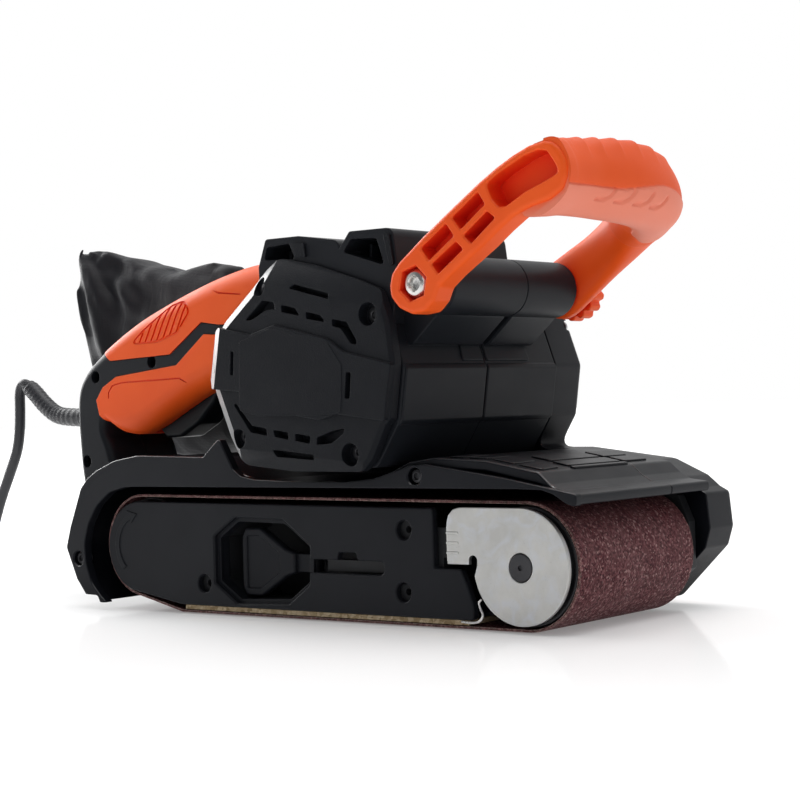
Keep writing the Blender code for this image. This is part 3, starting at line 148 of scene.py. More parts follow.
class Shader(Nodes):
    """A new material; its textures run in object coordinates, in millimetres."""

    SOCKETS = {
        "base": "Base Color", "rough": "Roughness", "metal": "Metallic", "normal": "Normal",
        "spec": "Specular IOR Level", "sheen": "Sheen Weight", "sheen_rough": "Sheen Roughness",
    }

    def __init__(self, name):
        self.material = bpy.data.materials.new(name)
        self.material.use_nodes = True
        super().__init__(self.material.node_tree)
        self.bsdf = self.tree.nodes["Principled BSDF"]
        coord = self.node("ShaderNodeTexCoord")
        feeds = {0: coord.outputs["Object"], "Scale": 1000.0}
        self.mm = self.node("ShaderNodeVectorMath", feeds, operation="SCALE").outputs[0]

    def noise(self, size, detail=2.0, rough=0.5, stretch=None, distortion=0.0):
        vector = self.mm
        if stretch:
            feeds = {0: vector, 1: stretch}
            vector = self.node("ShaderNodeVectorMath", feeds, operation="MULTIPLY").outputs[0]
        feeds = {
            "Vector": vector, "Scale": 1.0 / size, "Detail": detail, "Roughness": rough,
            "Distortion": distortion,
        }
        return self.node("ShaderNodeTexNoise", feeds).outputs["Fac"]

    def cells(self, size, feature="F1", out="Distance"):
        feeds = {"Vector": self.mm, "Scale": 1.0 / size}
        return self.node("ShaderNodeTexVoronoi", feeds, feature=feature).outputs[out]

    def cell_shade(self, size):
        """A random number for each cell."""
        feeds = {0: self.cells(size, out="Color")}
        return self.node("ShaderNodeSeparateColor", feeds).outputs[0]

    def wave(self, direction, scale, distortion, detail=2.0):
        feeds = {
            "Vector": self.mm, "Scale": scale, "Distortion": distortion, "Detail": detail,
        }
        made = self.node("ShaderNodeTexWave", feeds, wave_type="BANDS",
                         bands_direction=direction)
        return made.outputs["Fac"]

    def soft_normal(self, radius):
        """Normal that rounds the edges over."""
        return self.node("ShaderNodeBevel", {"Radius": radius * MM}, samples=4).outputs[0]

    def edge_mask(self, soft_normal):
        """Rises where the rounded normal leaves the true one."""
        geometry = self.node("ShaderNodeNewGeometry")
        feeds = {0: soft_normal, 1: geometry.outputs["Normal"]}
        dot = self.node("ShaderNodeVectorMath", feeds, operation="DOT_PRODUCT")
        return self.times(self.less(1.0, dot.outputs["Value"], True), 4.0, True)

    def bump(self, height, distance, strength=1.0, normal=None):
        feeds = {"Height": height, "Distance": distance * MM, "Strength": strength}
        if normal is not None:
            feeds["Normal"] = normal
        return self.node("ShaderNodeBump", feeds).outputs[0]

    def put(self, **values):
        for key, value in values.items():
            self.feed(self.bsdf.inputs[self.SOCKETS[key]], value)
        return self.material


# ---------------------------------------------------------------- materials
def plastic(name, low, high, *, rough, grain, depth, wear, spec, wear_amount=0.25,
            leather=0.0, panel=None, painted_highlight=None, deep=None):
    """Moulded plastic: slow colour drift, a fine grain, handling marks and paler edges.

    leather is a cell size, panel the colour where the "panel" attribute is set, shine paints a
    highlight on the faces turned one way, and deep paints shade into hollows.
    """
    tree = Shader(name)
    soft = tree.soft_normal(radius=0.35)
    edge = tree.edge_mask(soft)
    drift = tree.noise(size=38.0, detail=3.0, rough=0.55)
    base = tree.mix(tree.rise(drift, low=0.3, high=0.7), low, high)
    scuff = tree.noise(size=3.2, detail=5.0, rough=0.7)
    worn = tree.times(edge, tree.rise(scuff, low=0.38, high=0.62))
    base = tree.mix(tree.times(worn, wear_amount), base, wear)
    if panel:
        attribute = tree.node("ShaderNodeAttribute", attribute_name="panel")
        base = tree.mix(attribute.outputs["Fac"], base, panel)
    # painted shade: hollows that ambient occlusion finds get a darker colour and less gloss
    if deep:
        hollow = tree.node("ShaderNodeAmbientOcclusion", {"Distance": deep["reach"] * MM},
                           samples=6)
        painted_shade = tree.ramp(hollow.outputs["AO"], [(0.25, 1.0), (0.85, 0.0)])
        base = tree.mix(painted_shade, base, deep["colour"])
        if deep["gloss"] < 1.0:
            spec = tree.less(spec, tree.times(painted_shade, spec * (1.0 - deep["gloss"])))
    # painted highlight: faces turned one way get a paler colour, more gloss and less roughness
    if painted_highlight:
        geometry = tree.node("ShaderNodeNewGeometry")
        axes = tree.node("ShaderNodeSeparateXYZ", {0: geometry.outputs["True Normal"]})
        painted_highlight_mask = 1.0
        for axis, sign, start in painted_highlight["facing"]:
            turned = tree.less(tree.times(axes.outputs[axis], sign), start)
            painted_highlight_mask = tree.times(painted_highlight_mask, tree.times(turned, 5.0, True))
        base = tree.mix(painted_highlight_mask, base, painted_highlight["colour"])
        spec = tree.add(tree.times(painted_highlight_mask, 0.8), spec)
    height = fine = tree.noise(size=grain, detail=3.0, rough=0.65)
    if leather:
        furrows = tree.rise(tree.cells(leather, "DISTANCE_TO_EDGE"), low=0.0, high=0.16)
        height = tree.add(tree.times(furrows, 0.8), tree.times(fine, 0.5))
    # roughness: smears and grain round the set value, smoother on edges and painted highlights
    smear = tree.noise(size=11.0, detail=4.0, rough=0.6, stretch=(1.0, 0.6, 1.6))
    dull = tree.add(tree.times(smear, 0.16), rough - 0.08)
    dull = tree.add(dull, tree.times(fine, 0.08))
    dull = tree.less(dull, tree.times(edge, 0.06), True)
    if painted_highlight:
        dull = tree.less(dull, tree.times(painted_highlight_mask, 0.16), True)
    normal = tree.bump(height, distance=depth, strength=0.9, normal=soft)
    return tree.put(base=base, rough=dull, normal=normal, spec=spec)


def metal(name, low, high, *, rough, brushed=(1.0, 1.0, 1.0), cloud=0.0, depth=0.012,
          tint=None, metallic=1.0):
    """Metal with drifting tone, dark specks and fine lines; brushed stretches the lines."""
    tree = Shader(name)
    soft = tree.soft_normal(radius=0.25)
    edge = tree.edge_mask(soft)
    drift = tree.noise(size=16.0, detail=4.0, rough=0.6)
    base = tree.mix(tree.rise(drift, low=0.32, high=0.68), low, high)
    if tint:
        stain = tree.rise(tree.noise(size=9.0, distortion=1.5), low=0.45, high=0.75)
        base = tree.mix(tree.times(stain, 0.5), base, tint)
    specks = tree.rise(tree.noise(size=0.9, detail=3.0, rough=0.7), low=0.62, high=0.72)
    base = tree.mix(tree.times(specks, 0.25), base, tuple(c * 0.55 for c in low))
    lines = tree.noise(size=0.35, detail=3.0, rough=0.6, stretch=brushed)
    # roughness: drift and lines round the set value, smoother on edges
    dull = tree.add(tree.times(drift, 0.22 + cloud), rough - 0.12)
    dull = tree.add(dull, tree.times(lines, 0.1))
    dull = tree.less(dull, tree.times(edge, 0.08), True)
    normal = tree.bump(lines, distance=depth, strength=0.8, normal=soft)
    return tree.put(base=base, rough=dull, metal=metallic, normal=normal)


def laminated():
    """Stacked sheet steel, banded along y."""
    tree = Shader("laminations")
    bands = tree.wave("Y", scale=0.32, distortion=0.2)
    base = tree.mix(bands, (0.20, 0.20, 0.21), (0.40, 0.40, 0.41))
    dull = tree.add(tree.times(tree.noise(size=4.0), 0.25), 0.3)
    soft = tree.soft_normal(radius=0.2)
    normal = tree.bump(bands, distance=0.06, strength=0.8, normal=soft)
    return tree.put(base=base, rough=dull, metal=1.0, normal=normal)


def abrasive():
    """Red-brown grit with pale grains and a ragged pale edge."""
    tree = Shader("abrasive")
    edge = tree.edge_mask(tree.soft_normal(radius=0.7))
    grains = tree.cells(0.75)
    shade = tree.cell_shade(0.75)
    base = tree.ramp(shade, [
        (0.0, (0.028, 0.0055, 0.0075)), (0.3, (0.072, 0.0135, 0.018)),
        (0.66, (0.118, 0.025, 0.032)), (0.88, (0.18, 0.058, 0.062)), (1.0, (0.34, 0.19, 0.18)),
    ])
    dust = tree.rise(tree.noise(size=14.0, detail=4.0, rough=0.6), low=0.35, high=0.7)
    base = tree.mix(tree.times(dust, 0.35), base, (0.16, 0.085, 0.085))
    tear = tree.rise(tree.noise(size=0.8, detail=3.0, rough=0.7), low=0.35, high=0.55)
    base = tree.mix(tree.times(tree.times(edge, tear), 0.75), base, (0.60, 0.52, 0.44))
    height = tree.add(tree.times(grains, -1.0), tree.times(tree.noise(size=0.45), 0.7))
    dull = tree.add(tree.times(shade, -0.35), 0.85)
    return tree.put(base=base, rough=dull, normal=tree.bump(height, distance=0.32), spec=0.22)


def cork():
    tree = Shader("cork")
    base = tree.ramp(tree.cell_shade(1.6), [
        (0.0, (0.34, 0.24, 0.13)), (0.5, (0.55, 0.42, 0.26)), (1.0, (0.68, 0.56, 0.38)),
    ])
    height = tree.noise(size=0.7, detail=4.0, rough=0.7)
    dull = tree.add(tree.times(height, 0.2), 0.72)
    return tree.put(base=base, rough=dull, normal=tree.bump(height, distance=0.15), spec=0.2)


def fabric():
    """Woven nylon: crossed fine threads, slow creases in tone, soft sheen."""
    tree = Shader("bag_fabric")
    weave = tree.times(*[
        tree.wave(direction, scale=0.42, distortion=0.6, detail=1.0) for direction in ("X", "Z")
    ])
    drift = tree.noise(size=24.0, detail=4.0, rough=0.6)
    tone = tree.rise(drift, low=0.3, high=0.7)
    base = tree.mix(tone, (0.0085, 0.0088, 0.0115), (0.0155, 0.0158, 0.0195))
    base = tree.mix(tree.times(weave, 0.35), base, (0.024, 0.024, 0.029))
    creases = tree.noise(size=9.0, detail=3.0, rough=0.55, stretch=(1.0, 1.0, 0.35),
                         distortion=0.6)
    height = tree.add(tree.times(weave, 0.10), tree.times(creases, 1.2))
    dull = tree.add(tree.times(drift, 0.2), 0.5)
    normal = tree.bump(height, distance=1.0, strength=0.55)
    return tree.put(base=base, rough=dull, normal=normal, sheen=0.06, sheen_rough=0.4,
                    spec=0.22)


def circuit():
    tree = Shader("board")
    feeds = {"Vector": tree.mm, "Scale": 0.25, "Mortar Size": 0.04}
    traces = tree.node("ShaderNodeTexBrick", feeds).outputs["Fac"]
    base = tree.mix(traces, (0.02, 0.11, 0.045), (0.08, 0.25, 0.09))
    dull = tree.add(tree.times(tree.noise(size=2.0), 0.2), 0.32)
    return tree.put(base=base, rough=dull, normal=tree.bump(traces, distance=0.06))


# painted highlights: "facing" holds (axis of the normal, sign, where the highlight starts)
BLACK = plastic(
    "black_plastic", (0.0085, 0.0098, 0.0128), (0.0115, 0.0130, 0.0165),
    rough=0.40, grain=0.4, depth=0.03, wear=(0.07, 0.075, 0.082), spec=0.13)
# cap: painted highlight on faces turned to -x and -y
CAP_BLACK = plastic(
    "cap_plastic", (0.0062, 0.0072, 0.0098), (0.0090, 0.0102, 0.0132),
    rough=0.46, grain=0.3, depth=0.045, wear=(0.06, 0.065, 0.07), leather=1.1, spec=0.12,
    painted_highlight={"facing": [(0, -1.0, 0.25), (1, -1.0, 0.2)], "colour": (0.09, 0.093, 0.10)})
# guard: painted highlight on faces turned up and to -y, painted shade in hollows
GUARD_BLACK = plastic(
    "guard_plastic", (0.0085, 0.0095, 0.0125), (0.0120, 0.0130, 0.0165),
    rough=0.37, grain=0.4, depth=0.03, wear=(0.08, 0.085, 0.09), spec=0.13,
    painted_highlight={"facing": [(2, 1.0, 0.35), (1, -1.0, 0.2)], "colour": (0.05, 0.052, 0.056)},
    deep={"colour": (0.002, 0.0025, 0.004), "reach": 34.0, "gloss": 0.1})
PLATE_BLACK = plastic(
    "plate_plastic", (0.0085, 0.0095, 0.0125), (0.0120, 0.0130, 0.0165),
    rough=0.40, grain=0.4, depth=0.03, wear=(0.05, 0.055, 0.06), spec=0.13)
SATIN = plastic(
    "black_satin", (0.0070, 0.0078, 0.0100), (0.0095, 0.0105, 0.0130),
    rough=0.32, grain=0.25, depth=0.012, wear=(0.07, 0.07, 0.075), spec=0.16)
RUBBER = plastic(
    "rubber", (0.020, 0.021, 0.025), (0.030, 0.031, 0.036),
    rough=0.42, grain=0.6, depth=0.04, wear=(0.08, 0.08, 0.085), spec=0.5)
# orange: painted shade, a deeper red in hollows
ORANGE = plastic(
    "orange_plastic", (0.82, 0.086, 0.008), (0.87, 0.108, 0.013),
    rough=0.42, grain=0.45, depth=0.02, wear=(0.92, 0.22, 0.09), wear_amount=0.2, spec=0.2,
    deep={"colour": (0.80, 0.022, 0.006), "reach": 14.0, "gloss": 1.0})
ORANGE_SOFT = plastic(
    "orange_soft", (0.78, 0.088, 0.012), (0.84, 0.108, 0.018),
    rough=0.54, grain=0.32, depth=0.035, wear=(0.88, 0.24, 0.12), wear_amount=0.3, spec=0.22,
    panel=(0.80, 0.27, 0.185))
ZINC = metal("zinc_steel", (0.50, 0.50, 0.485), (0.64, 0.64, 0.62),
             rough=0.36, cloud=0.12, tint=(0.62, 0.66, 0.74))
STEEL = metal("steel", (0.30, 0.30, 0.31), (0.46, 0.46, 0.47),
              rough=0.34, brushed=(0.15, 3.0, 3.0))
BRIGHT = metal("bright_steel", (0.62, 0.62, 0.60), (0.80, 0.79, 0.77), rough=0.24)
ALLOY = metal("alloy", (0.42, 0.42, 0.43), (0.56, 0.56, 0.57),
              rough=0.46, cloud=0.1, depth=0.05)
COPPER = metal("copper", (0.50, 0.20, 0.08), (0.68, 0.30, 0.14),
               rough=0.36, brushed=(3.0, 0.2, 3.0))
BRASS = metal("brass", (0.52, 0.36, 0.13), (0.70, 0.52, 0.22), rough=0.34)
CARBON = metal("carbon", (0.02, 0.02, 0.021), (0.04, 0.04, 0.042), rough=0.6, metallic=0.2)
DARK_ALLOY = metal("painted_alloy", (0.010, 0.011, 0.013), (0.018, 0.019, 0.022),
                   rough=0.5, cloud=0.1, depth=0.05, metallic=0.15)
BLACK_STEEL = metal("black_steel", (0.035, 0.036, 0.04), (0.06, 0.06, 0.065),
                    rough=0.42, metallic=0.6)
LAMINATED, GRIT, CORK, FABRIC, BOARD = laminated(), abrasive(), cork(), fabric(), circuit()

# slot: (material, CAD nodes that use it)
SLOTS = {
    "black_plastic": (BLACK, """side_plate tension_lever belt_guard_near belt_guard_far
        motor_housing_near motor_housing_far motor_end_cap drive_cover rear_handle_near
        rear_handle_far dust_outlet bag_collar"""),
    "black_satin": (SATIN, "cooling_fan trigger_switch trigger lock_button speed_dial"),
    "orange_plastic": (ORANGE, """front_handle_frame handle_clamp_knob upper_grip lower_grip
        tracking_knob"""),
    "orange_soft": (ORANGE_SOFT, "front_handle_grip"),
    "abrasive": (GRIT, "sanding_belt"),
    "zinc_steel": (ZINC, "tension_bracket handle_clamp_bolt"),
    "steel": (STEEL, """platen_plate drive_shaft idler_axle tension_slide tension_spring
        lever_pin drive_bearing_near drive_bearing_far armature_shaft armature_core
        motor_bearing_near motor_bearing_far stator_core cap_screw_upper_rear
        cap_screw_upper_front cap_screw_lower_rear cap_screw_lower_front"""),
    "cork": (CORK, "platen_pad"),
    "copper": (COPPER, "commutator"),
    "brass": (BRASS, "brush_holder_front brush_holder_rear"),
    "carbon": (CARBON, "carbon_brush_front carbon_brush_rear"),
    "rubber": (RUBBER, "drive_roller timing_belt cord_sleeve power_cord"),
    "alloy": (ALLOY, "base_frame front_roller motor_pulley driven_pulley"),
    "fabric": (FABRIC, "dust_bag"),
    "board": (BOARD, "speed_control_board"),
}
CAD_SLOT = {node: slot for slot, (_, members) in SLOTS.items() for node in members.split()}
SPECIAL_LOOKS = {
    "armature_core": LAMINATED, "stator_core": LAMINATED,
    "base_frame": DARK_ALLOY, "tension_slide": DARK_ALLOY,
}


def dress_cad_pieces():
    for name, node in nodes.items():
        look = SPECIAL_LOOKS.get(name) or SLOTS[CAD_SLOT[name]][0]
        if not node.material_slots:
            node.data.materials.append(look)
        for slot in node.material_slots:
            slot.link = "OBJECT"
            slot.material = look


# ---------------------------------------------------------------- outlines
def circle(x, z, radius, count=64, start=0.0):
    angles = [start + 2 * math.pi * i / count for i in range(count)]
    return [(x + radius * math.cos(angle), z + radius * math.sin(angle)) for angle in angles]


def arc(x, z, radius, start, end, count):
    """Points on an arc, its ends in degrees."""
    angles = [math.radians(start + (end - start) * i / count) for i in range(count + 1)]
    return [(x + radius * math.cos(angle), z + radius * math.sin(angle)) for angle in angles]


def box(x0, x1, z0, z1):
    return [(x0, z0), (x1, z0), (x1, z1), (x0, z1)]


def offset(points, distance):
    """Open path moved to the right of its running direction."""
    out = []
    for i, point in enumerate(points):
        near = points[max(i - 1, 0):i + 2]
        normals = [
            Vector((end[1] - start[1], -(end[0] - start[0]))).normalized()
            for start, end in zip(near, near[1:])
        ]
        if len(normals) == 1:
            move = normals[0] * distance
        else:
            middle = normals[0] + normals[1]
            middle = middle.normalized() if middle.length > 1e-6 else normals[0]
            move = middle * (distance / max(middle.dot(normals[0]), 0.5))
        out.append((point[0] + move.x, point[1] + move.y))
    return out


def area(points):
    pairs = zip(points, points[1:] + points[:1])
    return sum(start[0] * end[1] - end[0] * start[1] for start, end in pairs) / 2


def inset(points, distance):
    """Closed outline shrunk; where an edge would turn round, its ends are drawn together."""
    points = list(points)
    loop = [points[-1]] + points + [points[0]]
    signed = -distance if area(points) > 0 else distance
    moved = [Vector(p) for p in offset(loop, signed)[1:-1]]
    count = len(points)
    for _ in range(60):
        turned = False
        for i in range(count):
            j = (i + 1) % count
            step = moved[j] - moved[i]
            if step.length > 1e-7 and step.dot(Vector(points[j]) - Vector(points[i])) < 0:
                moved[i] = moved[j] = (moved[i] + moved[j]) / 2
                turned = True
        if not turned:
            break
    return [tuple(p) for p in moved]


class Outline(list):
    """Rounded outline that keeps its corners, so it can be shrunk before they are rounded."""


def rounded(points, radii, steps=5):
    """Outline with its corners rounded; radii is one number or one for each corner."""
    out = Outline()
    count = len(points)
    radii = radii if isinstance(radii, list) else [radii] * count
    out.corners, out.radii, out.steps = list(points), radii, steps
    for i, point in enumerate(points):
        corner = Vector(point)
        if radii[i] <= 0:
            out.append(tuple(corner))
            continue
        back = Vector(points[i - 1]) - corner
        ahead = Vector(points[(i + 1) % count]) - corner
        if back.length < 1e-5 or ahead.length < 1e-5:
            out.extend([tuple(corner)] * (steps + 1))
            continue
        reach = radii[i] / max(math.tan(back.angle(ahead) / 2), 1e-3)
        reach = min(reach, back.length * 0.48, ahead.length * 0.48)
        start = corner + back.normalized() * reach
        end = corner + ahead.normalized() * reach
        for k in range(steps + 1):
            share = k / steps
            out.append(tuple(
                start * (1 - share) ** 2 + corner * 2 * share * (1 - share)
                + end * share * share
            ))
    return out


def shrunk(points, distance):
    if not distance:
        return list(points)
    if isinstance(points, Outline):
        return list(rounded(inset(points.corners, distance), points.radii, points.steps))
    return inset(points, distance)


def thin(points, least=0.02):
    """Drops points that nearly coincide."""
    out = [points[0]]
    for p in points[1:]:
        if math.hypot(p[0] - out[-1][0], p[1] - out[-1][1]) > least:
            out.append(p)
    if math.hypot(out[0][0] - out[-1][0], out[0][1] - out[-1][1]) <= least:
        out.pop()
    return out


def catmull(rows, parts):
    """Rows of numbers, interpolated smoothly with so many parts between neighbours."""
    out = []
    for i in range(len(rows) - 1):
        four = rows[max(i - 1, 0)], rows[i], rows[i + 1], rows[min(i + 2, len(rows) - 1)]
        for k in range(parts):
            t = k / parts
            out.append(tuple(
                0.5 * (2 * here + (there - past) * t
                       + (2 * past - 5 * here + 4 * there - after) * t * t
                       + (3 * here - past - 3 * there + after) * t ** 3)
                for past, here, there, after in zip(*four)
            ))
    out.append(tuple(rows[-1]))
    return out


def smooth_step(start, end, x):
    share = max(0.0, min(1.0, (x - start) / (end - start)))
    return share * share * (3 - 2 * share)


def signed_power(value, power):
    return math.copysign(abs(value) ** power, value)


# ---------------------------------------------------------------- solids
def link(obj):
    scene.collection.objects.link(obj)
    return obj


def finish_mesh(mesh, angle=32):
    mesh.shade_smooth()
    mesh.set_sharp_from_angle(angle=math.radians(angle))


def make(name, draft, look=None, angle=32):
    """Object from a bmesh; edges sharper than angle, in degrees, stay sharp."""
    bmesh.ops.recalc_face_normals(draft, faces=draft.faces)
    mesh = bpy.data.meshes.new(name)
    draft.to_mesh(mesh)
    draft.free()
    finish_mesh(mesh, angle)
    obj = link(bpy.data.objects.new(name, mesh))
    if look:
        mesh.materials.append(look)
    return obj


def place(axis, first, second, height):
    """3-D point: height runs along the axis, the other two lie across it."""
    return {
        "Y": (first, height, second), "Z": (first, second, height), "X": (height, first, second),
    }[axis]


def end_rows(start, end, round_start, round_end, steps):
    """(height, inset) pairs; a positive radius rounds an end, a negative one flares it."""
    sign = 1 if end > start else -1
    parts = []
    for radius in (round_start, round_end):
        part = [(0.0, 0.0)]
        if radius > 0:
            part = []
            for k in range(steps + 1):
                turn = math.pi / 2 * k / steps
                part.append((radius * (1 - math.cos(turn)), radius * (1 - math.sin(turn))))
        elif radius < 0:
            part = [(0.0, radius), (-radius, 0.0)]
        parts.append(part)
    rows = [(start + sign * depth, shrink) for depth, shrink in parts[0]]
    return rows + [(end - sign * depth, shrink) for depth, shrink in reversed(parts[1])]


def skin(draft, rings, caps=True):
    """Joins closed rings of points one after another."""
    made = [[draft.verts.new(Vector(p) * MM) for p in ring] for ring in rings]
    count = len(made[0])
    for low, high in zip(made, made[1:]):
        for i in range(count):
            j = (i + 1) % count
            draft.faces.new((low[i], low[j], high[j], high[i]))
    if caps:
        draft.faces.new(made[0])
        draft.faces.new(made[-1])
    return made


def skinned(name, rings, look=None, angle=32):
    draft = bmesh.new()
    skin(draft, rings)
    return make(name, draft, look, angle)


def clean(draft):
    bmesh.ops.remove_doubles(draft, verts=draft.verts, dist=2e-6)
    bmesh.ops.dissolve_degenerate(draft, dist=1e-6, edges=draft.edges)


def slab(name, outline, start, end, round_start=0.0, round_end=0.0, look=None, axis="Y",
         steps=3, hole=None, flare=0.0):
    """Outline extruded along the axis, with rounded or flared ends and at most one hole."""
    def rings(points, *ends):
        points = points if isinstance(points, Outline) else thin(points)
        return [
            [place(axis, *p, height) for p in shrunk(points, shrink)]
            for height, shrink in end_rows(start, end, *ends, steps)
        ]

    draft = bmesh.new()
    if hole is None:
        skin(draft, rings(outline, round_start, round_end))
    else:
        outer = skin(draft, rings(outline, round_start, round_end), caps=False)
        inner = skin(draft, rings(hole, -flare, -flare), caps=False)
        for k in (0, -1):
            edges = [
                draft.edges.get((loop[i], loop[(i + 1) % len(loop)]))
                for loop in (outer[k], inner[k])
                for i in range(len(loop))
            ]
            bmesh.ops.triangle_fill(draft, edges=edges, use_beauty=True)
    clean(draft)
    return make(name, draft, look)


def disc(name, centre, radius, start, end, round_start=0.0, round_end=0.0, look=None,
         count=72):
    return slab(name, circle(*centre, radius, count), start, end, round_start, round_end, look)


def revolve(name, profile, centre, look, axis="Y", count=72):
    """(radius, height) profile turned about the axis; it ends on the axis or closes on itself."""
    draft = bmesh.new()
    rings = []
    for radius, height in profile:
        across = [centre] if radius < 1e-4 else circle(*centre, radius, count)
        rings.append([draft.verts.new(Vector(place(axis, *p, height)) * MM) for p in across])
    pairs = list(zip(rings, rings[1:]))
    if len(rings[0]) > 1:
        pairs.append((rings[-1], rings[0]))
    for low, high in pairs:
        for i in range(count):
            j = (i + 1) % count
            if len(low) == 1:
                draft.faces.new((low[0], high[j], high[i]))
            elif len(high) == 1:
                draft.faces.new((low[i], low[j], high[0]))
            else:
                draft.faces.new((low[i], low[j], high[j], high[i]))
    return make(name, draft, look)


def pipe(name, path, radius, look, count=20, angle=60):
    """Round tube along points; radius is a number or a function of the share of the length."""
    points = [Vector(p) for p in path]
    last = len(points) - 1
    rings = []
    for i, p in enumerate(points):
        ahead = (points[min(i + 1, last)] - points[max(i - 1, 0)]).normalized()
        side = ahead.cross(Vector((0, 1, 0))).normalized()
        top = side.cross(ahead).normalized()
        size = radius(i / last) if callable(radius) else radius
        turns = [2 * math.pi * k / count for k in range(count)]
        rings.append([p + (side * math.cos(t) + top * math.sin(t)) * size for t in turns])
    return skinned(name, rings, look, angle)


def patch(name, points, lift, look, edge_round, corner, sink):
    """Raised panel over flat 3-D points, from sink below their plane to lift above it."""
    points = [Vector(p) for p in points]
    centre = sum(points, Vector()) / len(points)
    normal = Vector()
    for start, end in zip(points, points[1:] + points[:1]):
        normal += (start - centre).cross(end - centre)
    normal.normalize()
    along = (points[1] - points[0]).normalized()
    across = normal.cross(along)
    flat = rounded([((p - centre).dot(along), (p - centre).dot(across)) for p in points],
                   corner, 4)
    draft = bmesh.new()
    skin(draft, [
        [centre + along * x + across * y + normal * height for x, y in shrunk(flat, shrink)]
        for height, shrink in end_rows(-sink, lift, 0.0, edge_round, 3)
    ])
    clean(draft)
    return make(name, draft, look)


def serrated(name, centre, radius, count, deep, start, end, round_start, round_end, look,
             power=2.0):
    """Knob with rounded finger ribs; power sharpens its grooves."""
    points = []
    for i in range(count * 12):
        turn = 2 * math.pi * i / (count * 12)
        size = radius - deep * (0.5 + 0.5 * math.cos(count * turn)) ** power
        points.append((centre[0] + size * math.cos(turn), centre[1] + size * math.sin(turn)))
    return slab(name, points, start, end, round_start, round_end, look)


def evaluated(obj):
    """New mesh with the object's modifiers applied."""
    bpy.context.view_layer.update()
    graph = bpy.context.evaluated_depsgraph_get()
    return bpy.data.meshes.new_from_object(obj.evaluated_get(graph))


BOOLEANS = {"-": "DIFFERENCE", "+": "UNION", "&": "INTERSECT"}


def combine(obj, *tools):
    """Booleans in order, each a (sign, other object) pair; the others are used up."""
    for sign, other in tools:
        boolean = obj.modifiers.new(sign, "BOOLEAN")
        boolean.operation = BOOLEANS[sign]
        boolean.solver = "EXACT"
        boolean.object = other
    mesh = evaluated(obj)
    obj.modifiers.clear()
    old = obj.data
    looks = [m for m in old.materials if m]
    obj.data = mesh
    bpy.data.meshes.remove(old)
    for _, other in tools:
        data = other.data
        bpy.data.objects.remove(other)
        bpy.data.meshes.remove(data)
    draft = bmesh.new()
    draft.from_mesh(mesh)
    clean(draft)
    draft.to_mesh(mesh)
    draft.free()
    mesh.name = obj.name
    mesh.materials.clear()
    if looks:
        mesh.materials.append(looks[0])
        mesh.polygons.foreach_set("material_index", [0] * len(mesh.polygons))
    finish_mesh(mesh)
    return obj


def cut(*shape, **options):
    """Slab to take away; the arguments are those of slab after its name."""
    return "-", slab("tool", *shape, **options)


def join(*shape, **options):
    return "+", slab("tool", *shape, **options)


def keep(*shape):
    return "&", slab("tool", *shape)


def bore(*shape, **options):
    """Round hole; the arguments are those of disc after its name."""
    return "-", disc("tool", *shape, **options)


def bolt_hole(start, end):
    return bore(PIVOT, BOLT_HOLE_R, start, end, count=32)


def trim(obj, node):
    """obj is an extra piece on the body of a CAD node."""
    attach(obj, BODY_OF[node])
    # keeps big flat faces flat next to rounded edges
    weighted = obj.modifiers.new("WeightedNormal", "WEIGHTED_NORMAL")
    weighted.keep_sharp = True
    weighted.weight = 60


def stand(obj, node):
    """obj stands for one CAD node and moves with its body."""
    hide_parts(node)
    trim(obj, node)


# ---------------------------------------------------------------- sanding belt, rollers
def belt_loop(inside):
    """Belt's side view so far inside its outer face: front arc, rear arc, platen's rear end."""
    front_r, rear_r, floor_z = FRONT_R - inside, REAR_R - inside, inside
    span_x, span_z = REAR_X - FRONT_X, REAR_Z - FRONT_Z
    lean = math.acos((front_r - rear_r) / math.hypot(span_x, span_z))
    top = math.degrees(math.atan2(span_z, span_x) - lean)
    platen_x = PLATEN_X0 + inside * 0.11
    run_x, run_z = REAR_X - platen_x, REAR_Z - floor_z
    reach = math.hypot(run_x, run_z)
    run = math.atan2(run_z, run_x) + math.asin(rear_r / reach)
    length = math.sqrt(reach**2 - rear_r**2)
    touch_x, touch_z = platen_x + length * math.cos(run), floor_z + length * math.sin(run)
    last = math.degrees(math.atan2(touch_z - REAR_Z, touch_x - REAR_X)) + 360
    return (arc(FRONT_X, FRONT_Z, front_r, -90, top, 56),
            arc(REAR_X, REAR_Z, rear_r, top, last, 48), (platen_x, floor_z))


def belt():
    """Loop of cloth whose edges are a little frayed and turned in."""
    def between(start, end, count):
        return [tuple(Vector(start).lerp(Vector(end), k / count)) for k in range(1, count)]

    def closed(inside):
        front, rear, platen = belt_loop(inside)
        return (front + between(front[-1], rear[0], 60) + rear + between(rear[-1], platen, 8)
                + [platen] + between(platen, front[0], 50))

    def fray(i, row):
        return 0.22 * noise.noise(Vector((i * 0.9, row, 0.0)))

    half = BELT_W / 2
    widths = [-half, -half + 0.3] + [-half + BELT_W * k / 24 for k in range(1, 24)]
    widths += [half - 0.3, half]
    last = len(widths) - 1
    draft = bmesh.new()
    made = []
    for i, (outer, inner) in enumerate(zip(closed(0), closed(BELT_T))):
        outer, inner = Vector(outer), Vector(inner)
        near_fray, far_fray = fray(i, 3.1), fray(i, 9.7)
        ring = []
        for k, y in enumerate(widths):
            p = outer.lerp(inner, 0.25 if k in (0, last) else 0.0)
            shift = near_fray if k < 2 else far_fray if k > last - 2 else 0.0
            ring.append((p.x, y + shift, p.y))
        ring += [(inner.x, half, inner.y), (inner.x, -half, inner.y)]
        made.append([draft.verts.new(Vector(p) * MM) for p in ring])
    count = len(made[0])
    for ring, following in zip(made, made[1:] + made[:1]):
        for k in range(count):
            j = (k + 1) % count
            draft.faces.new((ring[k], ring[j], following[j], following[k]))
    stand(make("sanding_belt_cloth", draft, GRIT), "sanding_belt")


